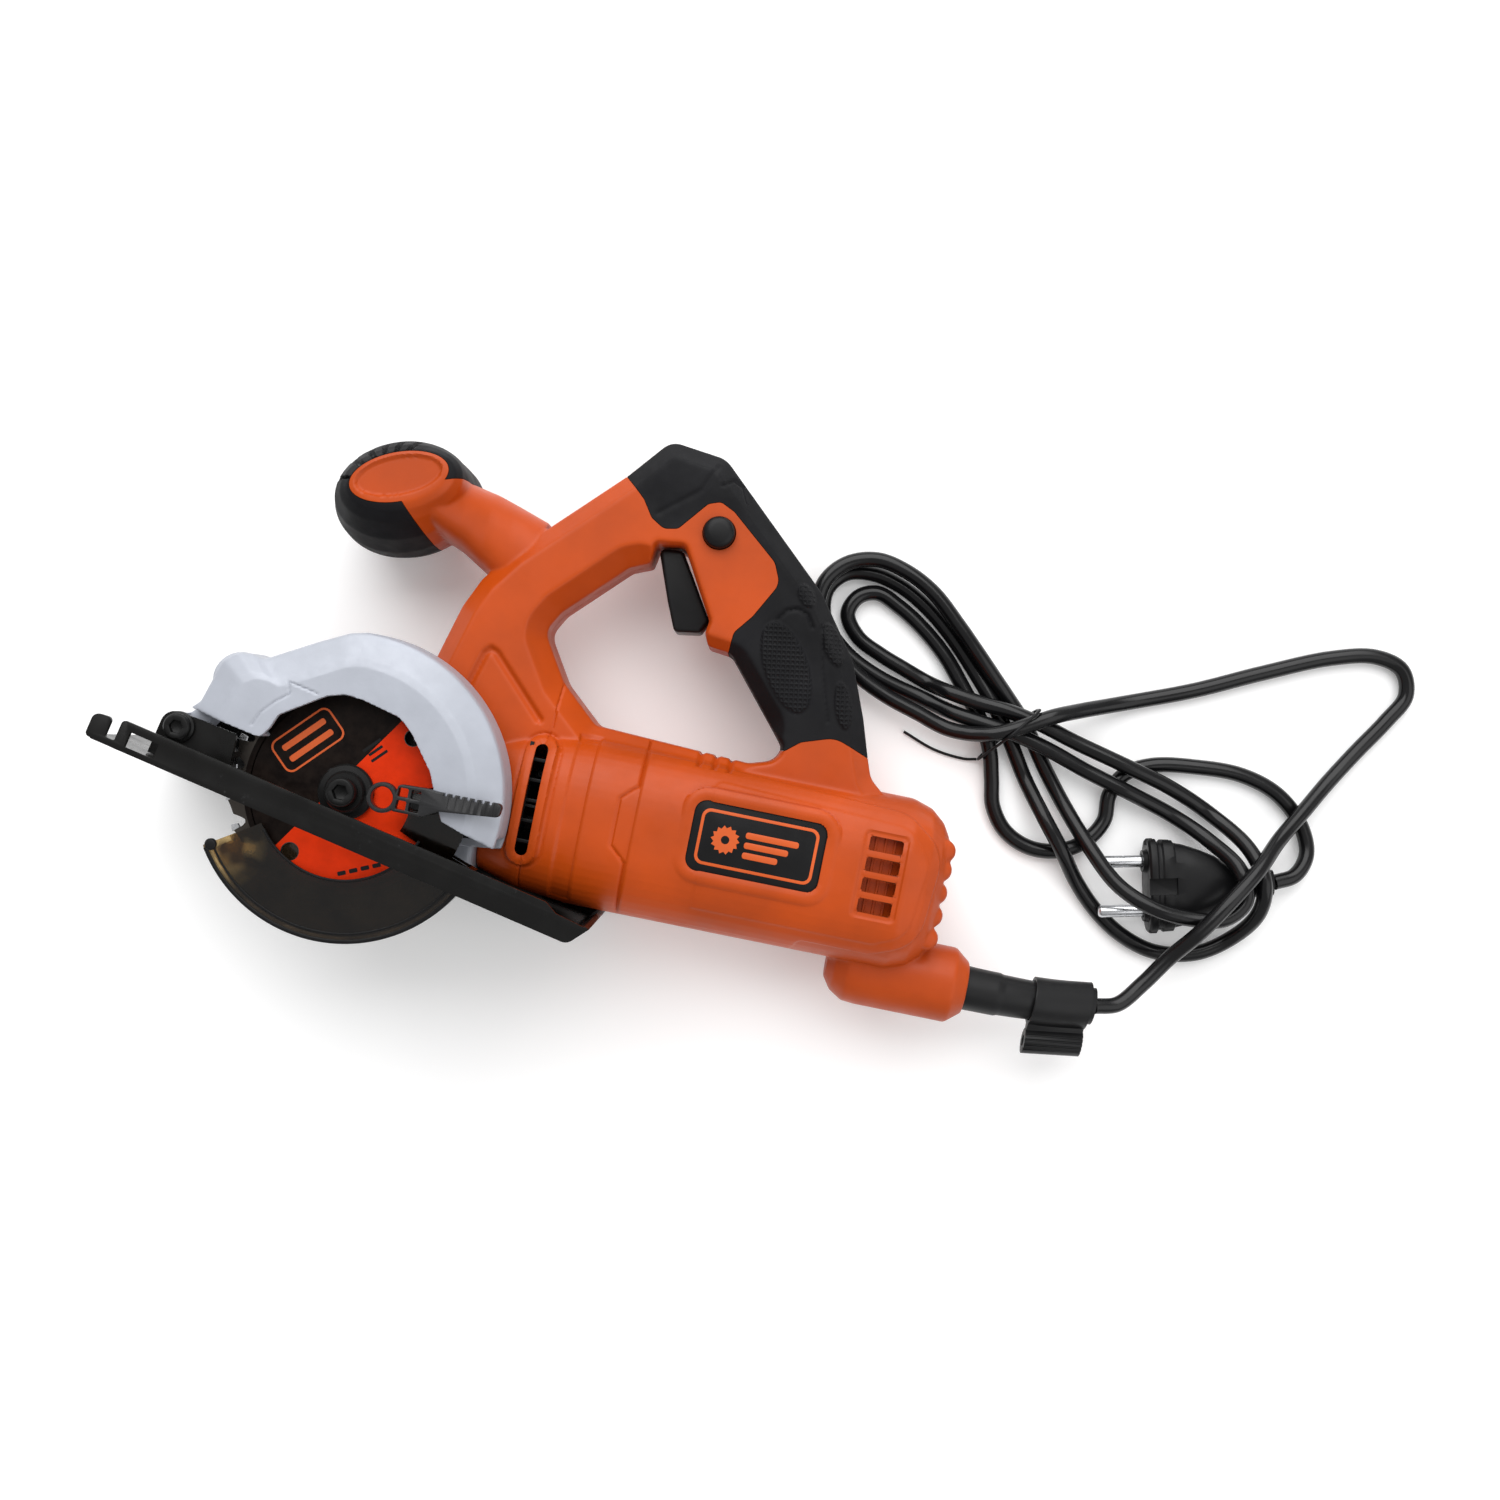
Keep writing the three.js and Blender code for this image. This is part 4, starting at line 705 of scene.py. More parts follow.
def plug_pieces():
    """Moulded two-pin plug: a rounded face with an earth notch, tapering into a ribbed tail."""
    stations = [
        (0, 17.6, 7.9), (0.8, 18.4, 8.6), (3, 18.4, 8.6), (3.7, 17.2, 8), (5, 17.1, 7.9), (5.7, 17.9, 8.4),
        (9.4, 17.7, 8.4), (10.2, 16.4, 8), (14, 15.6, 8.3), (20, 13.6, 8),
        (26, 11, 7.4), (30, 8.4, 6.6), (34, 6.2, 5.9), (40, 5.6, 5.3), (48.3, 5, 4.6),
    ]
    body = loft([across_x(x, 0, 0, y, z, 64, 2.8) for x, y, z in stations])
    for side in (1, -1):
        body = cut(body, along_x(rod(2.75, -1, 5), side * PIN_ASIDE, 0))
        collar = turned([(2.8, -1.6), (4.2, -1.6), (4.8, 0.4), (2.8, 0.4)])
        body = join(body, along_x(collar, side * PIN_ASIDE, 0))
    body = cut(body, box(-2, 10.5, -3.2, 3.2, 6.4, 12), box(-2, 10.5, 15.6, 22, -2.6, 2.6))
    body = cut(body, *(box(x, x + 1.5, -12, 12, z, z + 9) for x in (35.5, 38.6, 41.7) for z in (4.2, -13.2)))
    body = rounded(body, 0.3, 2)
    pins = []
    for side in (1, -1):
        pin = rod(2.4, -19, 5, 0, 0, 1.5)
        pins.append(along_x(cut(pin, tube(2.15, 3, -9, -8.4)), side * PIN_ASIDE, 0))
    turn = Matrix.Translation(PLUG_PLACE) @ Matrix.Rotation(PLUG_TURN, 4, "Z")
    for piece in (body, *pins):
        piece.data.transform(turn)
    finish_piece(body, "plug_moulding", BLACK, "housing", "plug_body")
    for i, pin in enumerate(pins, 1):
        finish_piece(pin, f"plug_pin_{i}_plated", STEEL, "housing", f"plug_pin_{i}")
    return [body, *pins]


TIE_PLACE = (233.5, 70, 0)
TIED_STRANDS = [(-2, 17.4), (8.1, 17.4), (6.5, 4.5), (8.2, 10.9), (-3.5, 10.8), (-13, 4.5), (-10, 4.5)]


def hull_outline(circles, r, steps=24):
    """Convex outline round circles of radius r."""
    bm = bmesh.new()
    for x, y in circles:
        for point in circle(x, y, r, steps):
            bm.verts.new((*point, 0))
    result = bmesh.ops.convex_hull(bm, input=bm.verts)
    used = [v.co.to_2d() for v in result["geom"] if isinstance(v, bmesh.types.BMVert)]
    bm.free()
    middle = sum(used, Vector((0, 0))) / len(used)
    return sorted(used, key=lambda p: math.atan2(p.y - middle.y, p.x - middle.x))


def tie_piece():
    """Plastic-covered wire wound twice round the strands, its loose end lying on the floor."""
    loop = [TIE_TURN @ Vector((0, x, z)) for x, z in hull_outline(TIED_STRANDS, CORD_R + 0.9)]
    tail = [(222.8, 56.6, 2.0), (218, 55.8, 1.2), (206, 57, 0.9), (193, 61.5, 0.9)]
    first, _ = wire("cord_tie_loop", [*loop, *loop[:3]], 0.55, BLACK, 3)
    second, _ = wire("cord_tie_end", tail, 0.55, BLACK)
    for piece in (first, second):
        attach(piece, "housing")
    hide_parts("cord_tie")
    return [first, second]


TIE_TURN = Matrix.Translation(TIE_PLACE) @ Matrix.Rotation(math.radians(-38), 4, "Z")
plug = plug_pieces()
tie = tie_piece()

# ---- Housing ----
BARREL_Y, BARREL_HALF_Y, BARREL_HALF_Z = 5.25, 31.75, 33
BARREL_FRONT, BARREL_REAR = 46, 213.8
GLAND_Y = -28.4
WALL = 2.7
GRIP_CORE = 2.7
HANDLE_LOW, HANDLE_HIGH, HANDLE_CHAMFER = 13, 53, 6.2
# The exhaust slot and the badge are (x, y, half length along X, half length along Y).
SLOT = (62.7, 9.4, 3.4, 21)
BADGE = (144.8, 9.4, 24.5, 13.1)
LOCK = (109, 117.3)
TRIGGER_PIVOT = (91.5, 106.5)
VENTS_X, VENTS_Y, VENT_PITCH = 189.95, 7.55, 7.4
KNOB_TILT = math.radians(22)
# Each screw hole is (x, y, distance from its end to the split).
SCREWS = [(-8, 108, 14), (30, 66, 12), (66, 113, 12), (160, 42.5, 12), (112, 29.5, 14)]

handle_outside = outline([
    (14, 20), (14, 40, 3), (16, 51, 12), (22, 73, 12), (27, 84, 10), (36, 96, 6), (50, 110), (72, 132, 4),
    (85, 147.5, 7), (106, 145, 9), (121, 131, 16), (150, 104, 22), (166, 82, 16), (174, 62, 16),
    (178.5, 48, 8), (181, 41, 8), (187, 36, 6), (198, 33), (198, 12), (46, 12), (46, 20),
])
# The opening is widened a little towards both faces, and much more away from the trigger.
handle_opening = outline([
    (78.5, 40, 4), (64, 53, 9), (53.5, 70, 6), (58, 78, 5), (79, 99, 3), (86.4, 102.2, 2),
    (87.2, 109.2, 1.5), (97.6, 110.4, 2), (111.8, 85.4, 2), (111, 81, 2), (113, 76.5, 1.5),
    (122, 75.5, 4), (147, 46, 6), (147.5, 41, 7), (136, 37.5, 3),
])
flared_opening = outline([
    (78.5, 40, 4), (64, 53, 9), (53.5, 70, 6), (58, 78, 5), (79, 99, 3), (84, 101, 3), (91, 96, 3),
    (104, 74, 4), (122, 72, 4), (139.5, 52, 5), (138, 45, 5), (130, 40.5, 3),
])
trigger_outline = outline([
    (88, 108.5, 2), (95, 90, 6), (99.5, 79.5, 2), (109, 81, 2), (111.5, 86, 2), (97, 109.5, 3),
])
rear_grip_zone = outline([
    (60, 140), (72, 131.3), (80, 124, 4), (84, 118, 4), (89, 115, 4), (94, 116, 3), (103, 127, 4),
    (107.5, 128.6, 3), (113, 126, 4), (131, 111, 6), (134.3, 103.5, 6), (127, 90, 6), (121.5, 83, 4),
    (121, 76), (119, 70), (147, 44, 2), (153, 49, 6), (165, 53, 10), (179, 48), (190, 48), (190, 160),
    (60, 160),
])
front_grip_zone = outline([
    (9, 80), (8.3, 91), (-5, 106), (4, 113), (16.8, 118), (17.5, 140), (-45, 140), (-45, 80),
])
# Orange end of the knob, which its rubber leaves free.
CAP = (-6.4, 113, 18.2, 9.0, KNOB_TILT)


def wider(ring, distance):
    return shrunk(anticlockwise(ring), -distance)


def barrel_form(inset):
    stations = [(BARREL_FRONT, 0.8), (60, 0.93), (80, 1), (140, 1), (199, 1), (206, 0.93), (211, 0.8),
                (BARREL_REAR, 0.66)]
    rings = []
    for x, scale in stations:
        at = min(max(x, BARREL_FRONT + inset), BARREL_REAR - inset)
        half_y, half_z = BARREL_HALF_Y * scale - inset, BARREL_HALF_Z * scale - inset
        rings.append(across_x(at, BARREL_Y, SPLIT_Z, half_y, half_z))
    return loft(rings)


def gland_form(inset):
    stations = [(179 + inset, 6), (182, 10.5), (187, 13.6), (192, 14), (226, 14), (231.5 - inset, 9.6)]
    return loft([across_x(x, GLAND_Y, SPLIT_Z, r - inset, r - inset, 48, 2.3) for x, r in stations])


def handle_form(inset):
    low, high = HANDLE_LOW + inset, HANDLE_HIGH - inset
    solid = prism(shrunk(anticlockwise(handle_outside), inset), low, high, HANDLE_CHAMFER, steps=1)

    def opening(ring, flare, reach, beyond=4):
        """The opening's way through, widened by flare over the last stretch before each face."""
        widest = flare * (reach + beyond) / reach
        levels = [(low - beyond, widest), (low + reach, 0), (high - reach, 0), (high + beyond, widest)]
        return loft([[(*p, z) for p in wider(ring, out + inset)] for z, out in levels])

    return cut(solid, opening(handle_opening, 1.2, 2.4), opening(flared_opening, 7.5, 7.5))


def knob_form(inset):
    """Levels are (height, half length, half width, share of the lean towards the saw's front)."""
    levels = [(1, 16.5, 8.2, 0), (2.2, 19.6, 10.6, 0), (6, 22.4, 13.6, 0.2), (14, 24.6, 17.6, 0.6),
              (24, 25.7, 20.4, 0.9), (33, 26, 21, 1)]
    levels += [(2 * SPLIT_Z - z, a, b, lean) for z, a, b, lean in levels[-2::-1]]
    low, high = levels[0][0], levels[-1][0]
    rings = []
    for z, long, short, lean in levels:
        at = min(max(z, low + inset), high - inset)
        rings.append(oval(at, -5.5 - 2.5 * lean, 112 - 4 * lean, long - inset, short - inset, KNOB_TILT))
    return loft(rings)


def stem_form(inset):
    stations = [(2, 108.5, 9, 30.5), (9, 107.5, 11.2, 28), (17, 105.6, 12.6, 23), (26, 102, 14.5, 19),
                (34, 98, 16, 17.4), (46, 92, 18, 16.4)]
    return loft([across_x(x, y, SPLIT_Z, a - inset, b - inset, 64, 2.6) for x, y, a, b in stations])


def housing_form():
    """The whole outside of the moulded body, as one soft skin."""
    rear_ribs = [rod(4.3, 11, 55, BARREL_REAR - 1.9, y, 2.5, 32) for y in (-11.6, -3.2, 5.2, 13.6, 20.6)]
    badge_x, badge_y, half_x, half_y = BADGE
    pad = prism(rounded_box(badge_x, badge_y, half_x + 3.4, half_y + 3.4, 8), 50, 66.3, 0.8)
    form = join(barrel_form(0), gland_form(0), handle_form(0), knob_form(0), stem_form(0), pad, *rear_ribs)
    return skinned(form, 0.62, 5)


def slots():
    """What is cut out of the housing: slots, vents and room for the pieces that sit in it."""
    trigger_room = []
    for degrees in (0, 4.5, 9):
        room = prism(wider(trigger_outline, 0.5), 22.5, 43.5)
        turn = Matrix.Translation((*TRIGGER_PIVOT, 0)) @ Matrix.Rotation(math.radians(degrees), 4, "Z")
        room.data.transform(turn @ Matrix.Translation((-TRIGGER_PIVOT[0], -TRIGGER_PIVOT[1], 0)))
        trigger_room.append(room)
    vent_rows = [VENTS_Y + VENT_PITCH * (k - 1.5) for k in range(4)]
    badge_x, badge_y, half_x, half_y = BADGE
    return [
        prism(capsule(*SLOT), -5, 80),
        *(prism(rounded_box(VENTS_X, y, 6.5, 3, 0.8), low, low + 20) for y in vent_rows for low in (56, -10)),
        prism(rounded_box(badge_x, badge_y, half_x + 0.4, half_y + 0.4, 5.2), 64.6, 80),
        rod(6.15, 45, 80, *LOCK),
        *trigger_room,
        *(rod(3.5, -5, SPLIT_Z - depth, x, y) for x, y, depth in SCREWS),
        along_x(rod(9, 220, 240), GLAND_Y, SPLIT_Z),
    ]


def hollow():
    return join(barrel_form(WALL), gland_form(WALL), handle_form(GRIP_CORE + 1.7))


def dress_housing(shell, side):
    """Seams, raised panels and rims on one half of the housing."""
    relief(shell, capsule(*SLOT[:2], 5.6, 23.2), 1.6, 0.7, side)
    groove(shell, capsule(*SLOT[:2], 6.8, 24.4), 0.8, 0.45, side, True)
    relief(shell, outline([(74.5, -40), (82, -40), (82, 36), (74.5, 36)]), -0.9, 1.2, side)
    outer_panel = outline([(100.5, 34.2), (133, 33.6), (196, 31, 12), (211, 20, 14), (208, -14, 14),
                           (192, -20.5, 8), (166, -20.5, 3), (162.5, -28), (100.5, -28)])
    inner_panel = outline([(126, 29.4, 3), (197, 26.4, 10), (206.5, 17, 10), (203.6, -11.5, 10),
                           (192, -16.8, 6), (166, -16.8, 3), (126, -16.8)])
    relief(shell, outer_panel, 1.0, 1.1, side)
    relief(shell, inner_panel, 0.35, 1.2, side)
    rear_seam = [(99.5, 60), (99.5, 22), (97.6, 20.4), (93.7, 16.5), (93.7, -0.5), (97.6, -4), (99.5, -6),
                 (99.5, -60)]
    groove(shell, rear_seam, 0.75, 0.75, side)
    for front_seam in (((64.5, 60), (64, 36), (63, 31.4)), ((63, -12.6), (62.6, -60))):
        groove(shell, front_seam, 0.6, 0.55, side)
    leg_crease = [(29.5, 40), (34.6, 57.6), (36.4, 59.6), (38.6, 58.6), (58.5, 38)]
    groove(shell, leg_crease, 2.1, 1.4, side, above=36.5)
    for x in (118.6, 124.2, 129.8):
        groove(shell, [(x, 31), (x, 50)], 1.4, 1.1, 0, above=33)
    relief(shell, flat_oval(-6.6, 113.4, 15.6, 6.8, KNOB_TILT), -1.3, 0.9, side)
    relief(shell, rounded_box(VENTS_X, VENTS_Y, 7.9, 15.6, 2), -0.7, 0.7, side)


def rest_on_floor(shell):
    """Flattens what would reach below the floor."""
    places, _ = points_of(shell)
    places[:, 2] = np.maximum(places[:, 2], 0)
    shell.data.vertices.foreach_set("co", places.ravel())
    shell.data.update()


# Each pad is (x, y, half length, half width, tilt in degrees).
GRIP_PADS = [
    (142.5, 74.5, 17.5, 8.2, -60), (144.6, 101.5, 5, 3.2, -55), (157.5, 86, 8.6, 3.8, -62),
    (165.5, 65, 9, 3.4, -72),
]


def dress_rear_grip(grip, side):
    """Cross-hatched pads and curved grooves in the rear grip's rubber."""
    pads = [flat_oval(*pad[:4], math.radians(pad[4])) for pad in GRIP_PADS]
    for pad in pads:
        relief(grip, pad, 0.6, 1.6, side)
        groove(grip, pad, 0.9, 0.35, side, True)
    mark(grip, "pad", pads)
    groove(grip, [(136, 91), (138.5, 94.6), (142.5, 96.2), (146.5, 94.6), (149, 90.5)], 1.1, 0.8, side)
    groove(grip, [(107, 134.6), (110.5, 137.6), (114.4, 136), (117, 130.5)], 1.1, 0.8, side)
    groove(grip, [(152.5, 92), (155.5, 76), (161, 58)], 0.9, 0.45, side)
    groove(grip, [(86, 120), (100, 131.5), (104, 141)], 1.6, 0.5, side)


def dress_knob(grip):
    """Short ribs round the upper edge of the knob, on both sides."""
    middle_x, middle_y, ribs_each_turn, depth = -7, 110, 18, 2.1
    places, normals = points_of(grip)
    around = np.degrees(np.arctan2(places[:, 1] - middle_y, places[:, 0] - middle_x))
    ribs = eased(np.abs(np.sin(np.radians(around * ribs_each_turn / 2))) * 3 - 0.9)
    within = eased((around - 62) / 8) * eased((178 - around) / 8) + (around < -170)
    ends = eased((np.abs(places[:, 2] - SPLIT_Z) - 15) / 5)
    press(grip, -depth * (1 - ribs) * np.clip(within, 0, 1) * ends, places, normals)


def housing():
    """Two orange halves, and the rubber over the rear grip and the knob in two halves each."""
    whole = housing_form()
    gap = 0.22
    cap_x, cap_y, long, short, tilt = CAP
    cap_zone = prism(flat_oval(*CAP), -5, 80)
    kept_cap_zone = prism(flat_oval(cap_x, cap_y, long - gap, short - gap, tilt), -6, 91)
    front_rubber = common(copy(whole), cut(prism(front_grip_zone, -5, 90), cap_zone))
    rear_rubber = cut(common(copy(whole), prism(rear_grip_zone, -5, 90)), handle_form(GRIP_CORE - 0.3))
    front_room = cut(prism(wider(front_grip_zone, gap), -5, 90), kept_cap_zone)
    rear_room = cut(prism(wider(rear_grip_zone, gap), -5, 90), handle_form(GRIP_CORE))
    shell = cut(whole, front_room, rear_room, hollow(), *slots())
    rear_rubber = cut(rear_rubber, *(rod(5.6, -5, SPLIT_Z - 5, x, y) for x, y, _ in SCREWS[:4]))
    dress_knob(front_rubber)
    for name, side in (("left", 1), ("right", -1)):
        low, high = (SPLIT_Z + SEAM, 150) if side > 0 else (-50, SPLIT_Z - SEAM)
        pieces = []
        for source in (shell, rear_rubber, front_rubber):
            pieces.append(common(copy(source), gridded_box(-60, 260, -70, 170, low, high)))
        dress_housing(pieces[0], side)
        dress_rear_grip(pieces[1], side)
        if side < 0:
            rest_on_floor(pieces[0])
        finish_piece(pieces[0], f"housing_{name}_shell", ORANGE, "housing", f"{name}_housing")
        for piece, grip in zip(pieces[1:], ("rear_grip", "front_grip")):
            finish_piece(piece, f"{grip}_{name}_rubber", RUBBER, "housing", f"{grip}_{name}")
    for source in (shell, rear_rubber, front_rubber):
        bpy.data.objects.remove(source)


def grilles():
    """Ribbed plates behind the rear vents and cross bars behind the exhaust slot, on both sides."""
    for name, vent_low, bar_low in (("left", 58.4, 56.5), ("right", 6.2, 7)):
        plate = box(181, 199, -9.4, 24.6, vent_low, vent_low + 1.4)
        ribs = [box(x, x + 0.9, -8, 23, vent_low - 0.5, vent_low + 1.9) for x in (186.2, 189.6, 193)]
        plate = join(plate, *ribs)
        finish_piece(rounded(plate, 0.15, 1), f"vent_screen_{name}", ORANGE, "housing")
        rails = [box(x, x + 1.4, -11, 30, bar_low, bar_low + 2.5, 0.2) for x in (57.8, 66.4)]
        bars = [box(58, 67.6, y, y + 1.3, bar_low + 0.2, bar_low + 2.3, 0.2)
                for y in (-6.4, 1, 8.4, 15.8, 23.2)]
        finish_piece(join(*rails, *bars), f"exhaust_grille_{name}", BLACK, "housing")


SIGN_LOW, SIGN_HIGH, SIGN_TEETH = 65.9, 66.32, 14


def badge():
    """Black plate with an orange border and a plain saw-and-bars sign."""
    x, y, half_x, half_y = BADGE
    plate = prism(rounded_box(x, y, half_x, half_y, 4.7), 64.9, 66.2, 0.5)
    finish_piece(plate, "badge_face", BLACK, "housing", "badge_plate")
    frame_ring = cut(prism(rounded_box(x, y, half_x - 3.2, half_y - 3, 3.2), SIGN_LOW, SIGN_HIGH, 0.1),
                     prism(rounded_box(x, y, half_x - 4.3, half_y - 4.1, 2.3), 60, 70))
    disc_x = x - 11.5
    teeth = []
    for k in range(SIGN_TEETH):
        for degrees, r in ((0, 5.2), (16, 4.2)):
            angle = math.radians(k * 360 / SIGN_TEETH + degrees)
            teeth.append(Vector((disc_x + r * math.cos(angle), y + r * math.sin(angle))))
    disc = cut(prism(teeth, SIGN_LOW, SIGN_HIGH), rod(1.5, 60, 70, disc_x, y))
    bars = [prism(rounded_box(x + 5 + shift, y + up, long, 1.15, 0.9), SIGN_LOW, SIGN_HIGH, 0.1)
            for shift, up, long in ((0, 3.1, 9.6), (-1.6, -0.5, 8), (-3.2, -4.1, 6.4))]
    sign = join(frame_ring, disc, *bars)
    finish_piece(sign, "badge_sign", BADGE_ORANGE, "housing")


# ---- Gear case and guards ----
NOSE_R = 13.2
GUARD_LOW, GUARD_INSIDE_LOW, GUARD_SHOULDER, GUARD_TOP = 62, 65, 78.5, 86
GUARD_R, GUARD_WALL = 56.5, 2.6
GUARD_CENTRE = (0, 5)
guard_silhouette = outline([
    (-57, 17, 2), (-52, 33, 4), (-50.6, 37.2, 3), (-46, 40.6, 4), (-41, 41.2, 3), (-36.6, 40.2, 4),
    (-20, 49.5, 6), (-9, 55, 5), *arc(0, 0, GUARD_R, 93, -10, 40), (12, -15), (-14, -10), (-33, 13.3, 1),
    (-52, 17, 1),
])
guard_window = outline([
    (-33, 13.4), (-30.6, 13.4, 2), (-28, 17, 3), (-26, 22, 2), (-11, 31.6, 4), (-5, 33.3, 4),
    (1, 32.8, 4), (15, 29.3, 4), (20, 25, 4), (29, 13, 5), (31, 8, 3), (36, -3, 2), (60, -11), (60, -60),
    (-60, -60), (-60, 18.6),
])
SPOUT = (-43.6, 31)
FOOT = Vector((-3.185, -15.17))
SOLE_TURN = math.atan2(-0.2055, 0.9787)


def on_shoe(along, up):
    return FOOT + Matrix.Rotation(SOLE_TURN, 2) @ Vector((along, up))


PIVOT_ON_SHOE = (-60.2, 14.2)
PIVOT = on_shoe(*PIVOT_ON_SHOE)
DEPTH_BOLT = (34, 3)
LOCK_PIN_Z = 49


def leaning(points, levels):
    """Cover whose rim leans inwards: levels are (height, how far the outline moves to the centre)."""
    centre = Vector(GUARD_CENTRE)
    rings = []
    for z, inwards in levels:
        ring = []
        for p in points:
            away = Vector(p) - centre
            ring.append((*(centre + away * (1 - inwards / away.length)), z))
        rings.append(ring)
    return loft(rings)


def upper_guard():
    """Cast cover over the blade, hollow, open below and towards the window, with its chip spout."""
    skin = leaning(guard_silhouette, [
        (GUARD_LOW, 0), (GUARD_SHOULDER, 0.4), (80.6, 1.0), (85.2, 9.6), (GUARD_TOP, 12.5),
    ])
    spout = turned([(0, 42), (9.9, 42), (9.9, 76), (9.2, 79), (7, 81), (0, 81.6)], *SPOUT, 48)
    lug = prism([*arc(*PIVOT, 5.2, 100, 300, 12), (-51, 17.4), (-52.5, 24), (-56, 20)], 60, 80)
    form = join(skin, spout, rod(18, GUARD_LOW, GUARD_INSIDE_LOW, 0, 0), lug)
    cavity_ring = shrunk(anticlockwise(guard_silhouette), GUARD_WALL)
    cavity = leaning(cavity_ring, [(GUARD_INSIDE_LOW, 0), (GUARD_SHOULDER, 0.4), (83.2, 8.5), (83.6, 10)])
    way_of_lower_guard = [(-52, 16), (28, -6.2), (46, -6.8), (60, -5), (60, -60), (-52, -60)]
    form = cut(form, cavity, prism(guard_window, 72, 99), rod(8, 30, 70, *SPOUT), rod(NOSE_R + 0.3, 50, 70),
               prism(way_of_lower_guard, GUARD_INSIDE_LOW, GUARD_SHOULDER + 0.4))
    form = skinned(form, 0.5, 3)
    turning_arrow = [(-34.5, 16.8), (-32.4, 21.5), (-28.4, 26), (-23.6, 29.8), (-25, 34), (-14.4, 31.8)]
    groove(form, turning_arrow, 0.42, 0.5)
    finish_piece(form, "upper_guard_casting", CAST, "housing", "upper_guard")
    # Painted shade: a black sheet inside the guard.
    guard_shade_sheet(cavity_ring)


def guard_shade_sheet(cavity_ring):
    """Black sheet on the inside of the guard's far wall, which shows past the blade: painted shade for the
    dark inside of the guard.
    """
    below = [(-60, 14), (-33, 12), (-13, -11), (13, -16), (60, -12), (60, -60), (-60, -60)]
    # Painted shade: a black sheet laid on the far wall, where the inside of the guard lies in shade.
    shade_plate = prism(shrunk(cavity_ring, 0.4), GUARD_INSIDE_LOW + 0.2, GUARD_INSIDE_LOW + 1.2, 0.2)
    shade_plate = cut(shade_plate, rod(14.5, 50, 80), prism(below, 60, 70), rod(8.3, 60, 70, *SPOUT))
    finish_piece(shade_plate, "guard_shade_sheet", BLACK, "housing")


def gear_case():
    """Cast case behind the guard, with a round nose for the spindle and two ribs round its body."""
    ring = outline([*arc(0, 0, NOSE_R, 150, 258, 16), (46, -22, 3), (46, 20, 3), (11.5, 20, 3), (9, 24.5, 2),
                    (-4, 24.5, 2)])
    ribs = [box(x, x + 2, low, 20.4, 17, 57, 0.6) for x, low in ((24, -18.7), (33, -20.4))]
    depth_boss = rod(6, 10.6, 20, *DEPTH_BOLT, 1)
    form = join(prism(ring, 12, 61.7, 2.5), rod(NOSE_R, 50, 69.5, 0, 0, 0.8), depth_boss, *ribs)
    spindle_bore, depth_bore = rod(4.3, 40, 80), rod(2.4, 0, 24, *DEPTH_BOLT)
    lock_bore = along_x(rod(2.3, -30, 5), 0, LOCK_PIN_Z)
    form = cut(skinned(form, 0.7, 3), spindle_bore, depth_bore, lock_bore)
    finish_piece(form, "gear_case_casting", CAST, "housing", "gear_case")


# ---- Blade ----
BLADE_TEETH = 24
PLATE_LOW, PLATE_HIGH = 73.3, 74.6
PRINT_R, PRINT_HIGH = 36.2, 74.66
MARK_LOW, MARK_HIGH = 74.62, 74.7


def face_mark(degrees, along, up, half_along, half_up, r, low=MARK_LOW, high=MARK_HIGH):
    """Flat printed bar, placed in axes turned about the blade's own."""
    bar = prism(rounded_box(along, up, half_along, half_up, r), low, high)
    bar.data.transform(Matrix.Rotation(math.radians(degrees), 4, "Z"))
    return bar


def blade():
    """Toothed plate with carbide tips, its printed face, and plain marks in place of lettering."""
    ring, tips = [], []
    for k in range(BLADE_TEETH):
        base = k * 360 / BLADE_TEETH

        def at(degrees, r):
            angle = math.radians(base + degrees)
            return Vector((r * math.cos(angle), r * math.sin(angle)))

        back = [at(-12, 41.2), at(-7.5, 40.6), at(-5, 38)]
        gullet = [at(-3.4, 37), at(-1.8, 37.2), at(-0.6, 38.4), at(0.4, 41.9)]
        ring += back + gullet
        tip = [at(0.6, 42.5), at(-2.6, 42.2), at(-2.4, 39.9), at(-0.3, 39.6)]
        tips.append(prism(tip, PLATE_LOW - 0.25, PLATE_HIGH + 0.25))
    holes = [(5, 0, 0), (2.8, 19, 23), (3, -15.5, -24.5)]
    plate = cut(prism(ring, PLATE_LOW, PLATE_HIGH), *(rod(r, 70, 80, x, y) for r, x, y in holes))
    finish_piece(rounded(plate, 0.08, 1), "saw_blade_plate", BLADE_STEEL, "blade", "saw_blade", sharp=30)
    finish_piece(join(*tips), "saw_blade_tips", STEEL, "blade", sharp=30)
    face = prism(circle(0, 0, PRINT_R, 120), PLATE_HIGH - 0.05, PRINT_HIGH)
    face = cut(face, rod(5, 70, 80), *(rod(r + 0.3, 70, 80, x, y) for r, x, y in holes[1:]))
    face = cut(face, tube(33.9, 34.3, PLATE_HIGH, 75))
    finish_piece(face, "blade_face_print", PRINT, "blade", sharp=30)
    dashes = [face_mark(24, -8 + 4.2 * k, -27.5, 1.5, 0.75, 0.4) for k in range(5)]
    rows = [face_mark(46, 16.5, 8.4 - 2.3 * row, half, 0.5, 0.3) for row, half in enumerate((3.8, 2.9, 3.4))]
    finish_piece(join(*dashes, *rows), "blade_face_marks", BLACK, "blade")
    border = cut(face_mark(46, -1, 22.7, 12.4, 6.6, 3), face_mark(46, -1, 22.7, 11.7, 5.9, 2.4, 70, 80))
    bars = [face_mark(46, -1, up, 9, 1.1, 0.8) for up in (25, 20.4)]
    finish_piece(join(border, *bars), "blade_face_sign", BADGE_ORANGE, "blade")


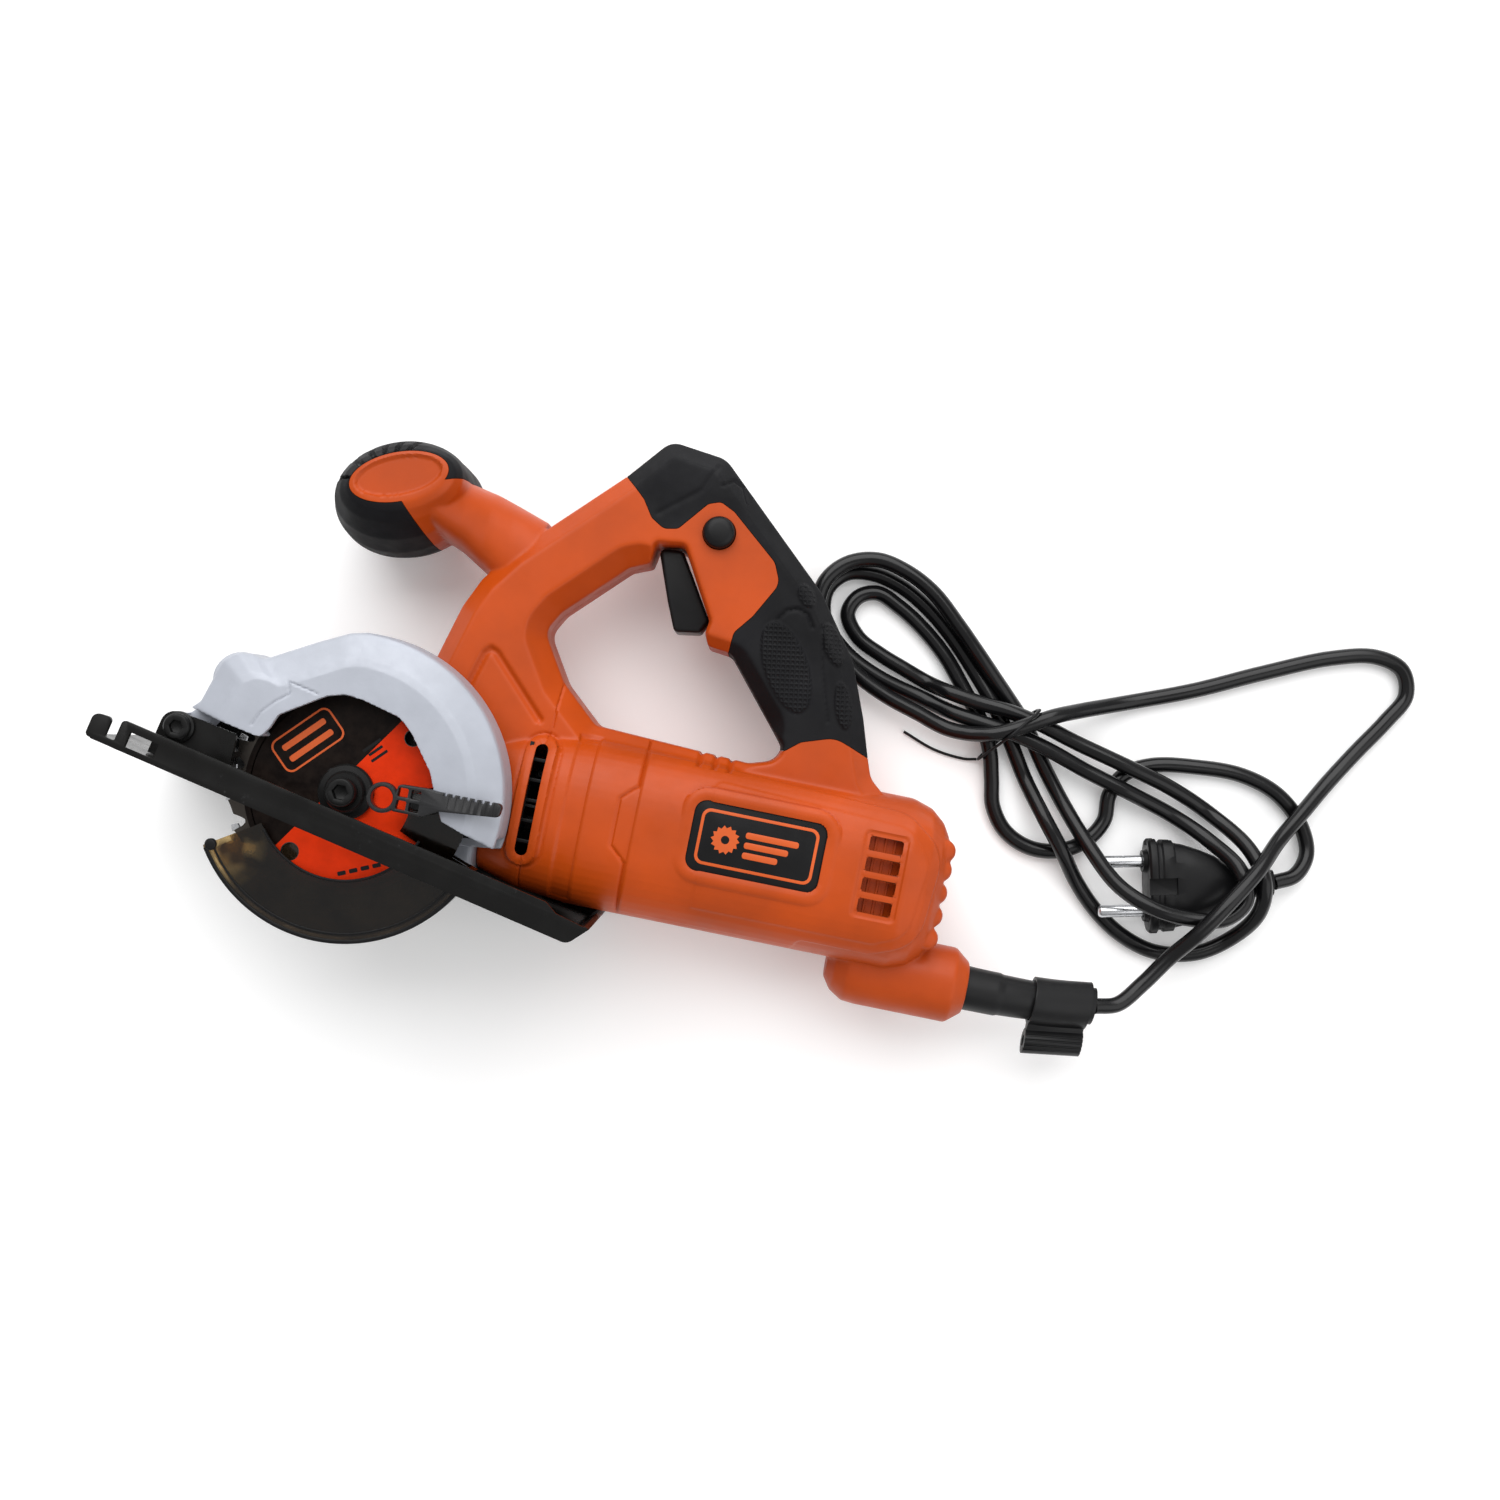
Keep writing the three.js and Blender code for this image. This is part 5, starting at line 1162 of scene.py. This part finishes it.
def spindle_pieces():
    """Flanges on both sides of the blade, and the bolt with its hexagon socket."""
    outer = turned([(3.3, 74.9), (9.4, 74.9), (9.8, 75.3), (9.8, 76.8), (9.2, 77.4), (7.4, 77.6), (7, 78),
                    (7, 79.4), (6.5, 80), (3.3, 80)])
    finish_piece(outer, "outer_flange_turned", DARK, "blade", "outer_flange", sharp=25)
    head = turned([(0, 80.3), (5, 80.3), (5, 85.4), (4.4, 86), (0, 86)])
    head = cut(join(head, rod(3, 60, 80.6)), prism(circle(0, 0, 2.9, 6), 82.2, 90))
    finish_piece(rounded(head, 0.15, 2), "blade_bolt_head", DARK, "blade", "blade_bolt", sharp=30)
    inner = turned([(3.2, 70.5), (9.6, 70.5), (10, 70.9), (10, 73), (4.7, 73), (4.7, 74.3), (3.2, 74.3)])
    finish_piece(inner, "inner_flange_turned", DARK, "blade", "inner_flange", sharp=25)


def sector(inner, outer, start, end, steps=60):
    return [*arc(0, 0, outer, start, end, steps), *arc(0, 0, inner, end, start, steps)]


# The lower guard's near and far walls, its outside, and the sweep that it covers, in degrees.
NEAR_WALL, FAR_WALL = (76.4, 77.9), (68, 69.6)
LOWER_GUARD_R, SWEEP = 52.9, (212, 340)


def lower_guard():
    """See-through cover with a near and a far wall, an outer rim, and raised black edges."""
    wall = join(
        tube(13.9, 18, *FAR_WALL),
        prism(sector(16, LOWER_GUARD_R, *SWEEP), *FAR_WALL),
        prism(sector(50.6, LOWER_GUARD_R, *SWEEP), FAR_WALL[0], NEAR_WALL[1]),
        prism(sector(31, LOWER_GUARD_R, *SWEEP), *NEAR_WALL),
        prism(sector(23.5, 44, 336, 374, 16), *NEAR_WALL),
        prism(sector(43.2, 52, SWEEP[0], 214.5, 3), FAR_WALL[0], NEAR_WALL[1]),
    )
    finish_piece(rounded(wall, 0.3, 2), "lower_guard_moulding", SMOKE, "guard", "lower_guard", sharp=30)
    rims = join(
        prism(sector(51.6, 53.1, 213, 339), 77.2, 78.3, 0.3),
        prism(sector(49.2, 50, 214, 339), 77.7, 78.2, 0.2),
        prism(sector(30.6, 31.6, 216, 338), 77.3, 78.5, 0.3),
        rod(2.1, 76.6, 79, -42.2, -27.2, 0.6),
    )
    finish_piece(rims, "lower_guard_rims", BLACK, "guard")


LEVER_LOW, LEVER_HIGH = 87, 91.5
NOTCH, NOTCH_PITCH = 1.3, 2.6


def guard_lever():
    """Finger lever of the lower guard: an eye, four windows and a notched arm, on one post."""
    ladder = outline([(18.6, -2.4, 1.5), (30, -2.4, 1), (35.5, 0.6, 2), (56, 2.6, 1.6), (56.6, 7.4, 1.6),
                      (46, 7.2, 1), (34, 7.2, 2), (30, 7.6, 2), (20.4, 7.2, 1.5)])
    windows = [rounded_box(x, y, 1.75, 1.6, 0.5) for x in (22.4, 26.9) for y in (0.2, 4.6)]
    bar = cut(prism(ladder, LEVER_LOW, LEVER_HIGH, 0.5), *(prism(ring, 80, 99) for ring in windows))
    eye = turned([(3.8, LEVER_LOW), (5.1, LEVER_LOW), (5.3, 87.3), (5.3, 91), (4.9, LEVER_HIGH),
                  (4, LEVER_HIGH), (3.8, 91.2)], 15.5, 1.5, 48)
    bar = join(bar, eye, rod(2.9, 78.2, 88, 27, 2.3))
    side_notches = [box(x, x + NOTCH, 6.2, 9, 80, 95) for x in np.arange(36, 54, NOTCH_PITCH)]
    top_notches = [box(x, x + NOTCH, 2, 8, 91, 95) for x in np.arange(38, 54, NOTCH_PITCH)]
    bar = cut(bar, *side_notches, *top_notches)
    finish_piece(rounded(bar, 0.2, 2), "guard_lever_moulding", GREY, "guard", "guard_lever", sharp=30)


# ---- Shoe ----
SHOE_FRONT, SHOE_REAR, SHOE_WIDTH, PLATE, FLANGE = -85, 98, 97, 1.6, 10.3
NEAR_EAR, FAR_EAR = (82, 84), (56, 58)


def to_shoe(obj):
    obj.data.transform(Matrix.Translation((*FOOT, 0)) @ Matrix.Rotation(SOLE_TURN, 4, "Z"))
    return obj


def shoe():
    """Pressed plate with an upturned flange along each side and a turned-up lip at the rear."""
    flange = outline([
        (SHOE_FRONT, 0.4, 1.5), (-74, 0), (SHOE_REAR - 5, 0, 4), (SHOE_REAR, 7.4, 0.8),
        (SHOE_REAR - 12.5, 8, 3), (SHOE_REAR - 17, FLANGE, 3), (SHOE_FRONT + 10, FLANGE, 1.5),
        (SHOE_FRONT + 10, 2.5, 0.8), (SHOE_FRONT + 6.5, 2.5, 0.8),
        (SHOE_FRONT + 6.5, FLANGE - 0.8, 1.5), (SHOE_FRONT, FLANGE - 1.5, 2.5),
    ])
    lip = outline([(SHOE_REAR - 10, 0), (SHOE_REAR - 5, 0, 3.5), (SHOE_REAR, 7.4), (SHOE_REAR - 1.8, 7.8),
                   (SHOE_REAR - 6.2, PLATE, 2), (SHOE_REAR - 10, PLATE)], 3)
    plate = join(
        box(SHOE_FRONT + 2, SHOE_REAR - 6.5, 0, PLATE, 0.4, SHOE_WIDTH - 0.4),
        prism(flange, 0, PLATE + 0.1), prism(flange, SHOE_WIDTH - PLATE - 0.1, SHOE_WIDTH),
        prism(lip, 0.4, SHOE_WIDTH - 0.4),
    )
    blade_way, flange_windows = box(-54.6, 56, -2, 4, 56, 90), box(-71, -60.5, 2, 7.3, -5, 105)
    plate = to_shoe(rounded(cut(plate, blade_way, flange_windows), 0.45, 3))
    finish_piece(plate, "shoe_pressing", PAINT, "shoe", "shoe_plate", sharp=30)


def pivot_bracket():
    """Two ears on the shoe, joined below and behind, and the bolt that the shoe turns on."""
    foot = PLATE + 0.3
    ear = outline([(-67, foot), (-67, 18.7, 5), (-56, 19.2, 2), (-41, 19.6, 1.2), (-39, 9, 1), (-40.5, foot)])
    low, high = FAR_EAR[0], NEAR_EAR[1]
    bracket = join(prism(ear, *FAR_EAR), prism(ear, *NEAR_EAR), box(-67, -55, foot, foot + 2, low, high),
                   box(-44, -39.4, 6, 13.6, low + 1, high - 1))
    bracket = to_shoe(rounded(cut(bracket, rod(2.6, 50, 90, *PIVOT_ON_SHOE)), 0.35, 2))
    finish_piece(bracket, "pivot_bracket_pressing", PAINT, "shoe", "pivot_bracket", sharp=30)
    head = turned([(0, 84.3), (5.4, 84.3), (5.4, 85.4), (4.6, 85.7), (4.6, 87.8), (4, 88.4), (0, 88.4)],
                  *PIVOT)
    bolt = cut(join(head, rod(2.3, 50.5, 84.6, *PIVOT)), prism(circle(*PIVOT, 2.5, 6), 86, 90))
    finish_piece(rounded(bolt, 0.12, 2), "pivot_bolt_head", DARK, "housing", "pivot_bolt", sharp=30)


def quadrant():
    """Slotted arc at the far side that sets the cutting depth."""
    bolt = Matrix.Rotation(-SOLE_TURN, 2) @ (Vector(DEPTH_BOLT) - FOOT)
    pivot = Vector(PIVOT_ON_SHOE)
    reach = (bolt - pivot).length
    start = math.degrees(math.atan2(bolt.y - pivot.y, bolt.x - pivot.x))

    def sweep(half, low, high):
        return [*arc(*pivot, reach + half, low, high, 20), *arc(*pivot, reach - half, high, low, 20)]

    foot = PLATE + 0.3
    arc_plate = prism(sweep(6.5, start - 5, start + 31.5), 8, 10)
    leg = prism([(26, foot), (46, foot), (41, 20), (29, 20)], 8, 10)
    form = join(arc_plate, leg, box(26, 46, foot, foot + 2, 8, 11.5))
    form = cut(form, prism(sweep(2.7, start - 2.2, start + 29.2), 0, 20))
    finish_piece(to_shoe(rounded(form, 0.3, 2)), "depth_quadrant_pressing", PAINT, "shoe", "depth_quadrant",
                 sharp=30)


def depth_lever():
    """Clamping lever on the depth bolt, with grip notches across its end."""
    arm = outline([(30, 8), (38, 8), (14, 36.4, 3.4), (7, 34, 3.4)])
    lever = join(prism(arm, 2.3, 6.5, 1.2), rod(7, 2.3, 7.7, *DEPTH_BOLT, 0.8))
    notch = ((0, 0), (5, 5), (4.2, 5.8), (-0.8, 0.8))
    notches = [prism([(10 + 2.4 * k + x, 30.5 - 2.4 * k + y) for x, y in notch], 1, 3) for k in range(4)]
    lever = cut(lever, rod(2.3, -1, 10, *DEPTH_BOLT), *notches)
    finish_piece(rounded(lever, 0.2, 1), "depth_lever_moulding", BLACK, "depth_lever", "depth_lever",
                 sharp=30)


# ---- Controls, cord sleeve and clip ----
def controls():
    """Trigger, lock-off button and spindle lock."""
    trigger = prism(trigger_outline, 23, 43, 1.3, steps=4)
    finish_piece(trigger, "trigger_moulding", BLACK, "trigger", "trigger", sharp=60)
    cap = turned([(0, 49), (5.8, 49), (5.8, 55), (5.5, 56), (4.6, 56.7), (3, 57), (0, 57.1)], *LOCK)
    finish_piece(join(cap, rod(2, 46, 50, *LOCK)), "lock_off_button", BLACK, "lock_button", "lock_button",
                 sharp=50)
    lock_cap = turned([(0, -19), (3.4, -19), (4, -18.4), (4, -16.8), (1.8, -16.6), (1.8, -7.2), (0, -7.2)])
    finish_piece(along_x(lock_cap, 0, LOCK_PIN_Z), "spindle_lock_cap", BLACK, "spindle_lock", "spindle_lock")


SLEEVE_PATH = [(223, -28, 33), (231.8, -28.4, 32.8), (249, -28.5, 31.5), (265, -28, 29), (281.5, -26.4, 25.6)]


def sleeve():
    """Tapered rubber sleeve with a ribbed end, and the hex-key clip pushed onto it."""
    way = spline(SLEEVE_PATH, 14)
    last = len(way) - 1
    wide_share, end_ring, radii = 0.44, 7.0, []
    for i in range(len(way)):
        share = i / last
        if share < wide_share:
            radii.append(8.6 - 0.5 * float(eased(share / 0.4)))
        elif i < last - 3:
            radii.append(7.7 - 1.1 * (share - wide_share) / (1 - wide_share))
        else:
            radii.append(end_ring)
    bore = hose([(220, -28, 33.1), *way[1:], (284, -26, 25.1)], CORD_R + 0.25, 24)
    finish_piece(rounded(cut(hose(way, radii, 48), bore), 0.4, 2), "strain_relief_sleeve", SLEEVE, "housing",
                 "strain_relief")
    hex_key_holder(way)


def hex_key_holder(way):
    """Clip round the sleeve, with a ribbed tube beside it that the blade's key is pushed into."""
    low, high = 257.5, 279.4
    holder = common(hose(way, 9, 48), box(low, high, -60, 0, 0, 60))
    key_tube = hose([(low, -43.8, 29.5), (high, -41.2, 26.5)], 4.8, 40)
    web_ends = ((low + 0.2, -37, 29.8), (high - 0.2, -35, 26.6))
    web = loft([oval_across_x(end, 4.2, 2.4, 24) for end in web_ends])
    narrow_from = 36
    room = hose(way, [8.05 if i < narrow_from else 7.3 for i in range(len(way))], 40)
    key_hole = hose([(low - 1, -44, 29.6), (high + 1, -41, 26.3)], 2.3, 6)
    grooves = []
    for aside in (-2.6, -0.9, 0.9, 2.6):
        up = 4.9 - abs(aside) * 0.35
        ends = ((low - 1, -43.8 + aside, 29.5 + up), (high + 1, -41.2 + aside, 26.5 + up))
        grooves.append(loft([oval_across_x(end, 0.45, 0.5, 12) for end in ends]))
    clip = cut(join(holder, key_tube, web), room, key_hole, *grooves)
    finish_piece(rounded(clip, 0.3, 2), "hex_key_holder", SLEEVE, "housing", "hex_key_clip")


INNER = {
    STEEL: ("spindle_bearing", "motor_front_bearing", "motor_rear_bearing", "spindle", "crown_gear",
            "motor_shaft", "depth_bolt", *(f"housing_screw_{i}" for i in range(1, 6))),
    DARK: ("guard_screw_1", "guard_screw_2", "pivot_nut"),
    BRASS: ("spindle_bush", "brush_holder_upper", "brush_holder_lower"),
    COPPER: ("armature_winding", "commutator", "field_coil_upper", "field_coil_lower"),
    LAMINATION: ("armature_core", "stator_core"),
    CARBON: ("carbon_brush_upper", "carbon_brush_lower"),
    BLACK: ("cooling_fan", "switch_body", "cord_clamp", "internal_lead"),
}


def dress_inner_pieces():
    for material, names in INNER.items():
        for name in names:
            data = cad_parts[name].data
            data.materials.clear()
            data.materials.append(material)


# ---- Floor and light ----
# Each light is (name, place, size, power), in metres and watts, and looks at the origin.
LIGHTS = [("key", (-0.5, 2.0, 2.1), 3.4, 118), ("fill", (1.9, -0.4, 2.0), 2.4, 22)]


def floor_and_light():
    bpy.ops.mesh.primitive_plane_add(size=12, location=(0, 0, -0.0002))
    floor = bpy.context.object
    floor.name = "floor"
    surface = Nodes("floor", (0.93, 0.93, 0.93), 0.9)
    surface.drift_color(surface.noise(3), (0.92, 0.92, 0.92), (0.94, 0.94, 0.94))
    surface.shader.inputs["Specular IOR Level"].default_value = 0.0
    surface.shader.inputs["Emission Color"].default_value = (1, 1, 1, 1)
    surface.shader.inputs["Emission Strength"].default_value = 0.13
    floor.data.materials.append(surface.material)
    world = bpy.data.worlds.new("studio")
    scene.world = world
    world.use_nodes = True
    world.node_tree.nodes["Background"].inputs["Color"].default_value = (1, 1, 1, 1)
    world.node_tree.nodes["Background"].inputs["Strength"].default_value = 0.52
    for name, place, size, power in LIGHTS:
        light = bpy.data.objects.new(name, bpy.data.lights.new(name, "AREA"))
        light.data.size = size
        light.data.energy = power
        light.location = place
        light.rotation_euler = (-Vector(place)).to_track_quat("-Z", "Y").to_euler()
        scene.collection.objects.link(light)


housing()
grilles()
badge()
gear_case()
upper_guard()
blade()
spindle_pieces()
lower_guard()
guard_lever()
shoe()
pivot_bracket()
quadrant()
depth_lever()
controls()
sleeve()
dress_inner_pieces()
floor_and_light()
